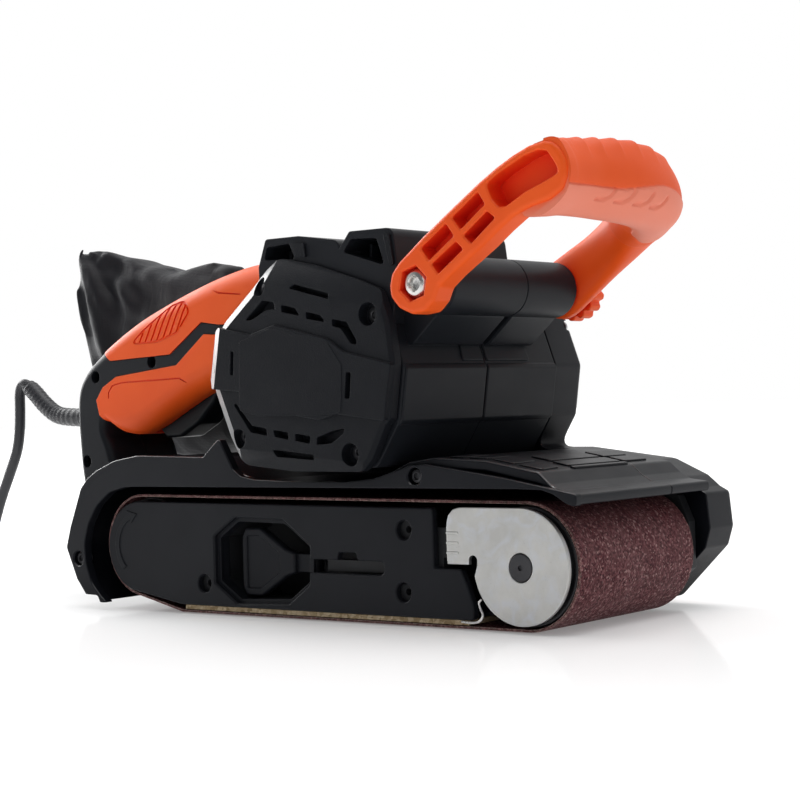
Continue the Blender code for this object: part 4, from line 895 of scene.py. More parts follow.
def drive_roller():
    """Grooved rubber roller at the rear."""
    radius = REAR_R - BELT_T - 0.35
    grooves = [(radius - (0.5 if k % 2 else 0.0), -30 + 60 * k / 40) for k in range(41)]
    profile = [
        (5.3, -31.7), (radius - 1, -31.7), (radius - 0.3, -31.3), (radius, -30.4), *grooves,
        (radius, 35.6), (radius - 0.3, 36.5), (radius - 1, 36.9), (5.3, 36.9),
    ]
    stand(revolve("drive_roller_rubber", profile, (REAR_X, REAR_Z), RUBBER), "drive_roller")


def front_roller():
    """Roller with a ring groove in its near end, and its axle."""
    centre = FRONT_X, FRONT_Z
    radius = FRONT_R - BELT_T - 0.35
    # (depth below the roller's surface, y)
    near_end = [(6, -36.6), (5.4, -36.2), (4.6, -34.0), (2.6, -34.0), (1.8, -36.2),
                (1.2, -36.6), (0.6, -36.4), (0.2, -35.4), (0, -20)]
    far_end = [(0, 20), (0.2, 35.6), (0.6, 36.7), (1, 37.0)]
    profile = [(5.35, -36.6)] + [(radius - depth, y) for depth, y in near_end + far_end]
    profile.append((5.35, 37.0))
    stand(revolve("front_roller_alloy", profile, centre, BLACK_STEEL), "front_roller")
    axle = disc("idler_axle_pin", centre, 5.0, -41.55, 40.2, 0.5, 0.5, BLACK_STEEL)
    stand(combine(axle, bore(centre, 1.0, -43, -40.8)), "idler_axle")


# ---------------------------------------------------------------- side plate, bracket, lever
OCTAGON = [
    (-55.5, 31.6), (-43.9, 39.0), (-17.6, 38.4), (-3.6, 29.0), (-4.2, 13.6), (-15.2, 5.9),
    (-43.2, 4.9), (-55.5, 12.7),
]
PLATE_FRONT = [
    (PLATEN_X0 + 1, 3.4), (76.0, 3.4), (76.2, 8.6), (73.4, 16.4), (70.6, 21.9), (58.1, 21.9),
    (58.1, 44.7),
]
PLATE_SLOT = box(-8.0, 34.0, 18.4, 23.6)
SLOT_BUMP = [(10.0, 22.4), (21.5, 22.4), (20.0, 26.6), (11.5, 26.6)]
PLATE_SCREWS = [(44.0, 35.6), (43.2, 12.4), (-61.5, 12.3)]


def side_plate():
    """Near side plate with an octagonal opening, a slot and screw holes."""
    def rear_point(radius, degrees):
        angle = math.radians(degrees)
        return REAR_X + radius * math.cos(angle), REAR_Z + radius * math.sin(angle)

    outline = arc(REAR_X, REAR_Z - 0.5, 18.7, 90, 255, 40)
    outline += rounded(PLATE_FRONT, [0, 1.5, 3, 3, 1.0, 1.0, 2.0], 4)
    plate = slab("side_plate_moulding", outline, PLATE_Y0, PLATE_Y1, 0.7, 0.0, PLATE_BLACK)
    face = PLATE_Y0 - OVER
    opening = rounded(OCTAGON, 1.6)
    well = rounded(inset(OCTAGON, 1.6), 1.4)
    combine(
        plate,
        cut(opening, face, -35, -0.6),
        cut(rounded(PLATE_SLOT, [0, 2.4, 2.4, 0]), face, -35, -0.4),
        cut(rounded(SLOT_BUMP, 1.0), face, -35, -0.3),
        *[bore(screw, 3.6, face, -35, -0.45, count=40) for screw in PLATE_SCREWS],
    )
    # curved arrow in faint relief on the rear rounding
    arrow = [rear_point(14.2, degrees) for degrees in range(226, 112, -6)]
    arrow += [rear_point(16.0, 116), rear_point(13.0, 94), rear_point(10.2, 116)]
    arrow += [rear_point(11.8, degrees) for degrees in range(114, 234, 6)]
    combine(plate, join(arrow, PLATE_Y0 - 0.35, PLATE_Y0 + 0.4, 0.15))
    # collar behind the octagonal opening
    rim = slab("plate_well_rim", opening, PLATE_Y1 + 0.3, PLATE_Y1 + 4.2, look=PLATE_BLACK,
               hole=well)
    outer = rounded(inset(OCTAGON, -0.4), 1.6)
    combine(plate, join(outer, PLATE_Y1 - 0.6, PLATE_Y1 + 0.6, hole=well))
    combine(rim, cut(box(-14.0, 4.0, 17.0, 25.0), PLATE_Y1 - OVER, PLATE_Y1 + 5.0))
    trim(rim, "side_plate")
    stand(plate, "side_plate")


def tension_bracket():
    """Plate round the front axle with a bent flange, and the wire clip below it."""
    outline = arc(FRONT_X, FRONT_Z + 0.2, 21.0, 90, -170, 90) + [(79.9, 23.7)]
    outline += arc(78.0, 25.3, 1.9, -10, 190, 18)
    outline += [(76.1, 23.8), (66.2, 23.8), (66.2, 38.8), (67.0, 41.4), (69.2, 43.7),
                (72.4, 44.5)]
    bracket = slab("tension_bracket_plate", outline, -41.5, -39.65, 0.35, 0.2, ZINC,
                   hole=circle(FRONT_X, FRONT_Z, 5.25, 48), flare=0.25)
    # the flange's outline is (y, z)
    flange = [(-41.45, 24.2), (-41.45, 38.4), (-36.6, 38.4), (-36.6, 24.2)]
    ridges = [[(66.0, z), (66.0, z + 1.0), (71.6, z + 1.0), (71.6, z)]
              for z in (27.4, 31.0, 34.6)]
    combine(
        bracket,
        join(rounded(flange, [1.2, 1.2, 0.5, 0.5], 4), 66.0, 67.9, 0.3, 0.3, axis="X"),
        *[join(rounded(ridge, 0.45), -41.7, -40.6, 0.1) for ridge in ridges],
    )
    stand(bracket, "tension_bracket")
    clip_path = [
        (71.0, -40.0, 3.0), (75.4, -40.1, 2.8), (79.0, -39.9, 3.4), (80.4, -39.4, 5.6),
        (79.0, -39.0, 8.0), (78.4, -38.9, 10.0), (79.6, -38.8, 11.2),
    ]
    clip = pipe("plate_wire_clip", catmull(clip_path, 6), 0.45, BRIGHT, 12)
    trim(clip, "side_plate")


def tension_lever():
    """Paddle with a sunk face, on an arm and an upright hub."""
    outline = [
        (-45.4, 30.6), (-43.4, 34.6), (-35.0, 34.6), (-21.5, 26.6), (-16.5, 25.0),
        (-16.5, 17.4), (-21.5, 15.9), (-35.0, 7.6), (-43.4, 7.6), (-45.4, 11.4),
    ]
    radii = [1.5] * 4 + [0.8] * 2 + [1.5] * 4
    recess = [(-42.6, 31.4), (-35.6, 31.4), (-25.0, 24.9), (-25.0, 17.4), (-35.6, 10.8),
              (-42.6, 10.8)]
    z0, z1 = 17.6, 24.8
    face_y = -34.2
    paddle = slab("tension_lever_paddle", rounded(outline, radii, 4), face_y, -30.6, 1.0, 0.4,
                  PLATE_BLACK)
    combine(
        paddle,
        join(rounded(box(-18.5, LEVER_X, z0, z1), 0.4), -32.6, -28.0, 0.5, 0.5),
        join(circle(LEVER_X, LEVER_Y, 3.1, 40), z0, z1, 0.4, 0.4, axis="Z"),
        cut(circle(LEVER_X, LEVER_Y, 1.6, 30), 10, 32, axis="Z"),
        cut(rounded(recess, 1.2), face_y - OVER, -33.5, -0.35),
    )
    stand(paddle, "tension_lever")


# ---------------------------------------------------------------- belt guard and nose
GUARD_OUTLINE = [
    # top edge, from the rear forwards
    (-134.5, 12.0), (-140.8, 25.3), (-138.0, 34.0), (-130.9, 50.4), (-126.5, 54.6),
    (-120.5, 58.0), (-109.5, 62.0), (-95.8, 64.0), (-57.2, 63.2), (-47.9, 70.7), (-40.4, 58.3),
    (-36.5, 55.6), (-29.0, 54.3), (-6.5, 53.6), (19.4, 53.6), (33.0, 54.8), (50.6, 59.6),
    (57.8, 60.1), (72.2, 58.2), (92.6, 55.4), (125.4, 49.6),
    # lower edge, back to the rear
    (125.2, 45.0), (121.0, 46.2), (115.5, 49.4), (110.5, 50.9), (100.0, 51.2), (-95.0, 51.2),
    (-103.5, 51.0), (-113.0, 48.9), (-121.0, 43.3), (-126.6, 35.5), (-129.2, 27.5),
    (-128.6, 19.0), (-125.4, 11.0), (-120.0, 5.6), (-116.0, 2.7), (-120.5, 2.7), (-122.0, 5.6),
    (-129.2, 5.8),
]
GUARD_RADII = [0, 3, 6, 6, 6, 8, 14, 14, 1.5, 1.5, 3, 4, 6, 10, 10, 10, 8, 8, 14, 20, 1.6,
               1.6, 3, 5, 6, 4, 3, 8, 10, 12, 12, 12, 12, 10, 6, 1, 1, 2, 1]
DECK_TOP = [
    (-121.4, 3.4), (-128.4, 6.2), (-133.5, 12.6), (-139.6, 25.3), (-130.0, 50.0),
    (-120.0, 57.4), (-95.8, 63.2), (-57.2, 62.4), (-41.0, 57.6), (-29.0, 54.0), (19.4, 53.4),
    (33.0, 54.6), (48.0, 60.8), (60.0, 62.4), (84.0, 61.4), (107.5, 57.2), (112.5, 52.9),
    (117.0, 50.4), (125.4, 49.4),
]
DECK_LOW = [
    (125.2, 45.4), (117.0, 47.6), (108.0, 52.6), (84.0, 57.4), (60.0, 58.4), (50.0, 57.0),
    (36.0, 51.2), (-93.0, 51.2), (-97.0, 58.4), (-114.0, 54.4), (-126.0, 46.5), (-134.0, 25.3),
    (-130.5, 15.0), (-124.8, 9.0), (-118.4, 3.4),
]
DECK_RADII = [0.8, 3, 6, 6, 10, 12, 14, 6, 6, 8, 10, 8, 8, 10, 14, 4, 4, 4, 1.6,
              1.6, 4, 4, 10, 6, 6, 4, 4, 4, 8, 10, 12, 6, 6, 0.8]
DECK = rounded(DECK_TOP + DECK_LOW, DECK_RADII, 6)
# room left inside the far guard
WALL = [
    (-118, 6.5), (-126, 16), (-128.2, 27), (-125.5, 37), (-119, 45.2), (-108, 49.3),
    (40, 49.3), (103, 48.6), (114, 44), (118.5, 34), (118.5, 16), (106, 6.2),
]
GUARD_SCREWS = [((52.8, 55.7), 3.2), ((-133.2, 20.8), 3.0)]  # centre, hole radius


def belt_guards():
    face = GUARD_Y - OVER
    near = slab("belt_guard_near_shell", rounded(GUARD_OUTLINE, GUARD_RADII, 6), GUARD_Y,
                -39.4, 0.5, 0.0, GUARD_BLACK)
    combine(
        near,
        join(DECK, -40.4, NOSE_SEAM_Y - GAP / 2, 1.0, 0.35),
        *[bore(at, radius, face, -36, -0.5, count=40) for at, radius in GUARD_SCREWS],
    )
    stand(near, "belt_guard_near")
    # (radius, y from the seat)
    head = [(0, 0), (1.3, 0), (1.3, -0.9), (1.5, -1.1), (2.4, -0.8), (2.7, -0.2), (2.7, 3.0),
            (0, 3.0)]
    for i, (at, _) in enumerate(GUARD_SCREWS):
        profile = [(radius, -40.6 + y) for radius, y in head]
        screw = revolve(f"guard_screw_{i}", profile, at, BLACK_STEEL, count=40)
        trim(screw, "belt_guard_near")
    far = slab("belt_guard_far_shell", DECK, NOSE_SEAM_Y + GAP / 2, COVER_Y0 - GAP, 0.35, 0.3,
               GUARD_BLACK)
    combine(far, cut(offset(WALL, -0.35), 40.6, 47))
    stand(far, "belt_guard_far")


def deck_z(x):
    """Height of the deck's top at x."""
    for (x0, z0), (x1, z1) in zip(DECK_TOP, DECK_TOP[1:]):
        if x0 <= x <= x1:
            return z0 + (z1 - z0) * (x - x0) / (x1 - x0)
    return DECK_TOP[-1][1]


# name, CAD node, height, shift of the near end in x, [(x0, x1, near y, far y)]
NOSE_RIBS = [
    ("nose_pad", "belt_guard_near", 0.7, 0, [
        (84.5, 94.2, -14, 17.6), (95.8, 103.6, -16, 17.6), (105.0, 107.3, -18, 17.6)]),
    ("nose_block", "belt_guard_near", 0.6, 2, [
        (62.0, 69.5, -36, -19), (71.0, 80.0, -36, -19), (81.5, 92.0, -36, -21),
        (93.5, 104.0, -36, -23)]),
    ("nose_pad_far", "belt_guard_far", 0.7, 0, [
        (84.5, 94.2, 20.6, 36), (95.8, 103.6, 20.6, 36)]),
]


def nose_ribs():
    """Raised ribs across the nose."""
    for name, node, lift, lean, ribs in NOSE_RIBS:
        for i, (x0, x1, near_y, far_y) in enumerate(ribs):
            plan = [(x0 + lean, near_y), (x1 + lean, near_y), (x1, far_y), (x0, far_y)]
            rib = patch(f"{name}_{i}", [(x, y, deck_z(x)) for x, y in plan], lift, GUARD_BLACK,
                        edge_round=0.35, corner=1.2, sink=1.2)
            trim(rib, node)


# ---------------------------------------------------------------- motor housing
MOTOR_BODY = [
    (-8.0, 134.0), (44.9, 121.3), (54.1, 96.2), (51.0, 75.7), (39.8, 58.9), (-21.2, 64.4),
    (-38.8, 87.5), (-32.3, 114.9),
]
REAR_HOOD = [(-18.0, 128.0), (-18.2, 136.6), (-14.2, 147.2), (3.0, 147.3), (24.0, 144.2),
             (24.1, 120.0)]
FRONT_HOOD = [(20.0, 120.0), (23.2, 140.4), (28.9, 147.2), (50.2, 147.2), (52.0, 134.0),
              (52.2, 129.0), (49.0, 112.0)]
BOSS_WEB = [(40.0, 118.0), (44.0, 134.0), (56.0, 133.0), (66.5, 120.0), (66.0, 114.8),
            (53.5, 104.0), (44.0, 104.0)]
FRONT_BAND = [(46.0, 97.2), (54.0, 97.2), (55.0, 95.2), (52.0, 76.2), (50.6, 74.6),
              (44.0, 74.6)]
# mouth outline in the near face of each hood, pitch of the fins in it
HOOD_MOUTHS = [
    ([(-14.9, 139.0), (-13.4, 144.0), (-1.6, 144.8), (1.0, 139.6), (0.4, 138.6)], 5.2),
    ([(25.6, 139.6), (30.0, 144.3), (42.4, 143.8), (45.8, 134.6), (44.6, 133.8)], 6.0),
]
# textured facets in front of each mouth
FACET_Y = -48.75
HOOD_FACETS = [
    [(0.4, 144.9), (6.6, 144.4), (7.6, 138.9), (2.8, 139.4)],
    [(46.2, 144.8), (49.2, 144.9), (51.0, 133.6), (49.2, 133.0)],
]
# y of the corners of each panel on the front slope: top, bottom, bottom, top
SLOPE_Z = 109.5, 98.0, 98.0, 109.5
SLOPE_PANELS = [("near", (-11.8, -13.8, -1.0, -1.0)), ("far", (1.0, 1.0, 28.7, 26.7))]


def housing(name, span, boss_span, rear_hood, front_hood, ends, boss_ends):
    """One half of the motor housing; spans are (y0, y1), ends the radii at both."""
    y0, y1 = span
    boss0, boss1 = boss_span
    return combine(
        slab(name, rounded(MOTOR_BODY, 4.0, 6), y0, y1, *ends, BLACK),
        join(rounded(FRONT_BAND, [0, 1.2, 1.2, 1.2, 1.2, 0], 4), y0 + 0.6, y1 - 0.2, 0.6, 0.3),
        join(rounded(REAR_HOOD, [0, 1.5, 1.5, 8, 4, 0]), *rear_hood, 0.4, 1.2),
        join(rounded(FRONT_HOOD, [0, 1.5, 1.5, 4, 3, 4, 0]), *front_hood, 0.4, 1.2),
        join(rounded(BOSS_WEB, 4.0), boss0 + 2, boss1 - 1.5, 0.8, 0.5),
        ("+", disc("tool", PIVOT, BOSS_R, boss0, boss1, *boss_ends, count=96)),
        bolt_hole(boss0 - 2, boss1 + 2),
    )


def motor_housing():
    seam = GAP / 2
    whole = CAP_Y1 + GAP, -seam
    near = housing("motor_housing_near_shell", whole, (BOSS_Y0, -seam), whole, whole,
                   ends=(0.5, 0.35), boss_ends=(1.2, 0.4))
    combine(near, *[cut(rounded(mouth, 1.2, 3), -49, -18) for mouth, _ in HOOD_MOUTHS])
    stand(near, "motor_housing_near")
    far = housing("motor_housing_far_shell", (seam, COVER_Y0 - GAP), (seam, BOSS_Y1),
                  (seam, 34.0), (seam, 20.0), ends=(0.35, 0.5), boss_ends=(0.4, 1.0))
    stand(far, "motor_housing_far")
    for i, (mouth, pitch) in enumerate(HOOD_MOUTHS):
        for k in range(3):
            x = min(p[0] for p in mouth) + pitch * (k + 0.9)
            outline = [(x, 132.0), (x + 1.2, 132.0), (x + 1.9, 142.6), (x + 0.7, 142.6)]
            fin = slab(f"hood_fin_{i}_{k}", rounded(outline, 0.4), -40.0, -19.0, 0.2, 0.0,
                       BLACK)
            trim(fin, "motor_housing_near")
    for i, outline in enumerate(HOOD_FACETS):
        facet = patch(f"hood_facet_{i}", [(x, FACET_Y, z) for x, z in outline], 0.45,
                      CAP_BLACK, edge_round=0.25, corner=0.6, sink=0.5)
        trim(facet, "motor_housing_near")
    (x0, z0), (x1, z1) = MOTOR_BODY[1:3]
    for i, (side, widths) in enumerate(SLOPE_PANELS):
        corners = [(x0 + (x1 - x0) * ((z0 - z) / (z0 - z1)), y, z)
                   for y, z in zip(widths, SLOPE_Z)]
        panel = patch(f"slope_panel_{i}", corners, 0.7, BLACK, edge_round=0.4, corner=1.0,
                      sink=0.8)
        trim(panel, f"motor_housing_{side}")


# ---------------------------------------------------------------- end cap
CAP_OUTLINE = [
    (-35.0, 116.2), (-19.8, 128.4), (-13.0, 135.0), (-4.6, 139.2), (13.0, 135.6),
    (36.7, 128.2), (46.6, 124.4), (51.2, 112.6), (53.4, 97.0), (50.4, 77.0), (48.0, 74.8),
    (41.5, 62.8), (36.4, 57.8), (0.3, 58.0), (-24.0, 60.4), (-33.4, 71.0), (-41.4, 89.0),
]
CAP_RADII = [2, 6, 8, 7, 10, 8, 5, 8, 3, 2, 2, 5, 5, 8, 6, 8, 2]
# (y from the near face, inset) of the cap's edge
CAP_EDGE = [(CAP_Y0 + 1.2, 1.5), (CAP_Y0 + 1.35, 1.25), (CAP_Y0 + 2.5, 0.12),
            (CAP_Y0 + 2.8, 0.0), (CAP_Y1 - 0.4, 0.0), (CAP_Y1, 0.3)]
CAP_BAND = [
    (-33.3, 113.6), (-17.4, 110.6), (-4.6, 113.8), (22.8, 107.3), (30.6, 102.3), (53.5, 97.2),
    (51.1, 86.0), (49.7, 76.4), (26.3, 79.3), (18.2, 77.1), (-12.6, 81.8), (-23.0, 88.7),
    (-41.4, 90.4), (-44.4, 94.0), (-41.2, 112.8), (-36.0, 114.0),
]
CAP_SLOTS = [
    # along the top, bottom, rear and front
    [(2.6, 127.2), (5.4, 128.6), (22.6, 124.2), (23.0, 122.0)],
    [(-7.9, 66.4), (13.6, 64.3), (13.2, 62.3), (-6.0, 63.6)],
    [(-27.6, 104.6), (-25.9, 104.4), (-26.4, 95.0), (-28.1, 95.2)],
    [(31.7, 94.7), (34.2, 94.5), (33.2, 84.8), (30.7, 85.0)],
    # upper row, from the rear forwards
    [(-20.6, 116.0), (-11.1, 123.3), (-5.2, 122.4), (-4.5, 119.6), (-8.8, 119.6),
     (-17.2, 116.0)],
    [(-1.4, 121.2), (5.9, 119.6), (8.4, 116.5), (-1.2, 118.4)],
    [(11.3, 118.0), (18.5, 116.3), (21.3, 113.5), (11.4, 115.3)],
    [(24.3, 114.7), (31.7, 113.2), (36.0, 106.5), (36.3, 104.6), (33.4, 105.1), (28.5, 111.0),
     (24.4, 112.0)],
    # lower row, from the rear forwards
    [(-26.8, 84.6), (-18.0, 75.6), (-10.6, 74.4), (-10.2, 71.6), (-19.0, 73.0), (-27.6, 83.6)],
    [(-7.2, 73.9), (0.8, 72.8), (0.8, 70.0), (-6.4, 71.2)],
    [(4.2, 72.4), (12.2, 71.2), (11.6, 68.4), (4.2, 69.6)],
    [(15.4, 70.8), (23.4, 73.2), (29.2, 74.0), (28.6, 72.0), (22.6, 68.4), (15.0, 68.0)],
]
# CAD node: screw centre, well centre, well radius
CAP_SCREWS = {
    "cap_screw_upper_rear": ((-12.9, 127.4), (-13.4, 128.7), 3.7),
    "cap_screw_upper_front": ((42.0, 115.4), (41.8, 115.6), 4.3),
    "cap_screw_lower_rear": ((-25.3, 71.9), (-25.7, 70.6), 3.8),
    "cap_screw_lower_front": ((32.4, 65.0), (31.7, 64.2), 4.3),
}
RATING_PANEL = [
    (-23.6, 81.6), (-13.0, 79.2), (17.4, 79.0), (28.6, 79.6), (29.2, 84.4), (29.6, 97.6),
    (22.0, 107.2), (-6.4, 112.6), (-16.6, 109.6), (-22.8, 108.0),
]


def chamfer(direction, inner, outer, depth):
    """Sloping cut on the cap, from inner off the motor axis at the face to outer at depth."""
    ahead = Vector(direction).normalized()
    side = Vector((-ahead.y, ahead.x))
    centre = Vector((MOTOR_X, MOTOR_Z))
    above = 0.6  # starts this far outside the face
    face_y, floor_y = CAP_Y0 - above, CAP_Y0 + depth
    beyond = centre + ahead * (outer + 14.0)
    section = [
        (face_y, centre + ahead * inner - ahead * ((outer - inner) / depth * above)),
        (floor_y, centre + ahead * outer), (floor_y, beyond), (face_y, beyond),
    ]
    rings = [[(p.x + side.x * reach, y, p.y + side.y * reach) for y, p in section]
             for reach in (-60.0, 60.0)]
    return "-", skinned("tool", rings)


def end_cap():
    """Louvred cap with a raised middle band, screw wells and a plain panel."""
    outline = rounded(CAP_OUTLINE, CAP_RADII)
    draft = bmesh.new()
    skin(draft, [[(x, y, z) for x, z in shrunk(outline, shrink)] for y, shrink in CAP_EDGE])
    clean(draft)
    cap = make("motor_end_cap_moulding", draft, CAP_BLACK)
    band = slab("tool", rounded(CAP_BAND, 1.3, 4), CAP_Y0, CAP_Y0 + 5.4, 0.5)
    combine(band, chamfer((-0.985, 0.172), 42.2, 49.9, 5.5))
    combine(cap, chamfer((-0.625, 0.782), 35.8, 42.8, 5.6),
            chamfer((-0.916, -0.40), 38.7, 47.0, 5.6))
    combine(
        cap,
        ("+", band),
        chamfer((0.245, 0.9695), 27.8, 40.2, 5.0),
        chamfer((-0.09, -0.996), 28.4, 39.0, 4.2),
        *[cut(rounded(slot, 0.6, 3), CAP_Y0 - 2, CAP_Y0 + 5.9) for slot in CAP_SLOTS],
        *[bore(at, radius, CAP_Y0 - 1, CAP_Y0 + 6.0, count=48)
          for _, at, radius in CAP_SCREWS.values()],
    )
    stand(cap, "motor_end_cap")
    label = slab("rating_panel", rounded(RATING_PANEL, 1.6, 4), CAP_Y0 - 0.12, CAP_Y0 + 0.6,
                 0.1, 0.0, CAP_BLACK)
    trim(label, "motor_end_cap")
    # (radius, y from the head's top)
    head = [(0, 1.0), (1.2, 1.0), (1.2, 0.2), (1.5, 0), (2.3, 0.2), (3.1, 0.7), (3.2, 1.2),
            (3.2, 1.6), (1.5, 1.6), (1.5, 10), (0, 11)]
    profile = [(radius, CAP_Y0 + 4.7 + y) for radius, y in head]
    for node, (at, _, _) in CAP_SCREWS.items():
        stand(revolve(node + "_head", profile, at, BLACK_STEEL, count=48), node)


# ---------------------------------------------------------------- drive cover
COVER_OUTLINE = [
    (-119.5, 3.0), (-129.0, 6.0), (-140.8, 25.3), (-130.9, 50.4), (-120.5, 58.0),
    (-95.8, 64.0), (-72.0, 84.0), (-66.0, 119.0), (-32.3, 119.5), (-8.0, 134.0), (44.9, 121.3),
    (54.1, 96.2), (51.0, 75.7), (42.5, 62.5), (60.0, 62.4), (99.3, 57.6), (114.2, 51.0),
    (119.6, 46.6), (123.6, 44.6), (125.0, 31.0), (122.6, 23.5), (100.7, 2.6), (60.0, 2.6),
]
COVER_RADII = [3, 3, 6, 6, 8, 10, 8, 6, 3, 5, 5, 5, 5, 5, 6, 8, 6, 3, 2, 3, 3, 4, 6]
COVER_FIELD = [
    (-112, 12), (-128, 26), (-118, 50), (-92, 58), (-66, 84), (-60, 112), (-30, 113),
    (-8, 126), (40, 115), (47, 96), (44, 78), (36, 62), (60, 56), (98, 51), (114, 42),
    (116, 28), (98, 10), (60, 9),
]
COVER_SCREWS = [(-121.0, 24.0), (-88.0, 56.0), (-60.0, 106.0), (46.0, 112.0), (62.0, 50.0),
                (112.0, 38.0), (40.0, 9.5)]
TRACKING = 86.0, 24.0  # axis of the tracking knob


def drive_cover():
    """Far cover: a raised field inside a groove, seven vents and seven screws."""
    cover = slab("drive_cover_shell", rounded(COVER_OUTLINE, COVER_RADII, 6), COVER_Y0,
                 COVER_Y1, 0.5, 3.4, GUARD_BLACK, steps=5)
    field = rounded(COVER_FIELD, 5)
    combine(
        cover,
        cut(inset(field, 0.5), COVER_Y1 - 1.0, COVER_Y1 + OVER, 0.0, -0.5),
        join(inset(field, 3.0), COVER_Y1 - 2.0, COVER_Y1, 0.0, 0.6),
        bore(TRACKING, 3.1, 60, 70, count=32),
    )
    vents = []
    for k in range(7):
        x = -14 + 6.4 * k
        off_middle = abs(k - 3)
        vent = box(x, x + 3.0, 84.0 - 1.2 * off_middle, 107.0 + 1.6 * (3 - off_middle))
        vents.append(cut(rounded(vent, 1.3, 4), COVER_Y1 - 2.4, COVER_Y1 + 0.5))
    holes = [bore(at, 3.0, COVER_Y1 - 4.0, COVER_Y1 + 0.5, count=36) for at in COVER_SCREWS]
    combine(cover, *vents, *holes)
    stand(cover, "drive_cover")
    # (radius, y from the head's top)
    head = [(0, -1.0), (1.1, -1.0), (1.1, -0.1), (1.4, 0), (2.2, -0.3), (2.6, -0.8),
            (2.6, -1.8), (0, -1.8)]
    profile = [(radius, COVER_Y1 - 2.4 + y) for radius, y in head]
    for i, at in enumerate(COVER_SCREWS):
        screw = revolve(f"cover_screw_{i}", profile, at, STEEL, count=40)
        trim(screw, "drive_cover")


# ---------------------------------------------------------------- front handle
ARCH_TILT = math.radians(33.5)

# Stations are (distance from the pivot along the tilted plane, y, height above the plane,
# depth below it, half width)
GRIP_STATIONS = [
    (65.2, -53.6, 7.4, 15.2, 14.7), (65.2, -50.2, 7.7, 15.0, 14.4),
    (65.2, -47.0, 8.4, 14.8, 13.9), (65.6, -40.5, 9.9, 14.4, 13.3),
    (66.0, -32.0, 10.6, 14.8, 13.0), (67.0, -22.0, 10.7, 16.0, 13.4),
    (67.8, -10.0, 10.7, 17.2, 13.8), (67.2, 1.0, 10.5, 17.4, 14.0),
    (65.0, 12.0, 10.2, 17.0, 13.6), (60.0, 22.5, 9.8, 15.6, 12.8),
    (52.0, 30.5, 9.6, 12.6, 11.4), (43.0, 35.0, 9.6, 10.6, 10.2),
]
FAR_ARM_STATIONS = [
    (43.4, 34.8, 9.4, 10.4, 10.0), (34.0, 37.0, 9.3, 10.0, 7.8), (22.0, 37.7, 9.8, 10.2, 5.6),
    (10.0, 37.7, 11.0, 11.0, 4.9), (0.0, 37.7, 11.6, 11.4, 4.9), (-5.6, 37.7, 10.0, 9.8, 4.8),
    (-9.4, 37.7, 6.4, 6.2, 4.4), (-11.0, 37.7, 2.2, 2.2, 3.4),
]
# curved strokes cut under the grip, as (length along it, angle round it in degrees)
STROKES = [
    [(start, -76), (start + 4.4, -75), (start + 6.6, -68), (start + 8.2, -56)]
    for start in (20.0, 30.0, 40.0, 49.5)
]
STROKE_SCALE = 0.22  # millimetres to a degree round the grip


def arch_point(along, y, above):
    """3-D point from a place in the handle's tilted plane and a height above it."""
    cos, sin = math.cos(ARCH_TILT), math.sin(ARCH_TILT)
    return PIVOT_X + along * cos - above * sin, y, PIVOT_Z + along * sin + above * cos


def swept(stations, parts, count, power, relief=None, straight=0.0):
    """Rings of the handle's skin and their panel values.

    relief(length, angle, total length) gives how far a point stands proud and its panel
    value; over the first straight millimetres the sections turn from facing y to the path.
    """
    fine = catmull(stations, parts)
    rings, tones = [], []
    total = sum(math.hypot(b[0] - a[0], b[1] - a[1]) for a, b in zip(fine, fine[1:]))
    length = 0.0
    for i, (along, y, up, down, half) in enumerate(fine):
        past, after = fine[max(i - 1, 0)], fine[min(i + 1, len(fine) - 1)]
        if i:
            length += math.hypot(along - fine[i - 1][0], y - fine[i - 1][1])
        ahead = Vector((after[0] - past[0], after[1] - past[1])).normalized()
        if length < straight:
            ahead = ahead.lerp(Vector((0, 1)), 1 - length / straight).normalized()
        side = Vector((ahead.y, -ahead.x))
        ring, tone = [], []
        for k in range(count):
            turn = 2 * math.pi * k / count
            cos, sin = math.cos(turn), math.sin(turn)
            rise = signed_power(sin, power)
            lift, panel = relief(length, turn, total) if relief else (0.0, 0.0)
            wide = half * signed_power(cos, power) + lift * cos
            high = (up if rise > 0 else down) * rise + lift * sin
            ring.append(arch_point(along + side.x * wide, y + side.y * wide, high))
            tone.append(panel)
        rings.append(ring)
        tones.append(tone)
    return rings, tones


def segment_distance(p, start, end):
    dx, dy = end[0] - start[0], end[1] - start[1]
    share = ((p[0] - start[0]) * dx + (p[1] - start[1]) * dy) / (dx * dx + dy * dy)
    share = max(0.0, min(1.0, share))
    return math.hypot(p[0] - start[0] - dx * share, p[1] - start[1] - dy * share)


def grip_relief(length, turn, total):
    degrees = math.degrees(turn)
    if degrees > 180:
        degrees -= 360
    lift = 0.0
    # overlapping waves, 9.6 mm apart, over the top
    top = smooth_step(-14, 20, degrees) * smooth_step(172, 130, degrees)
    if top > 0 and 9 < length < total - 12:
        bow = 3.6 * math.sin(math.radians(min(degrees, 120)) * 1.1)
        phase = (length - bow + 3.0 - 12.0) / 9.6
        if 0 < phase < 6:
            share = phase - math.floor(phase)
            lift += top * (0.95 * (share ** 1.5) * smooth_step(1.0, 0.86, share) - 0.25)
    # underside panel between two rails, with a U-shaped far end
    low, high = -148.0, -53.0 + 16.0 * smooth_step(28, 60, length)
    across = (degrees - (low + high) / 2) / ((high - low) / 2)
    end = total - 3.0 - 9.0 * across * across
    inside = min(smooth_step(low, low + 5, degrees), smooth_step(high, high - 5, degrees),
                 smooth_step(end + 1.2, end - 1.2, length))
    rim = inside * (1 - inside) * 4
    lift += 0.45 * inside - 0.5 * rim
    here = length, degrees * STROKE_SCALE
    for stroke in STROKES:
        flat = [(along, around * STROKE_SCALE) for along, around in stroke]
        nearest = min(segment_distance(here, *ends) for ends in zip(flat, flat[1:]))
        lift -= 0.75 * smooth_step(0.9, 0.35, nearest)
    return lift, inside * 0.75


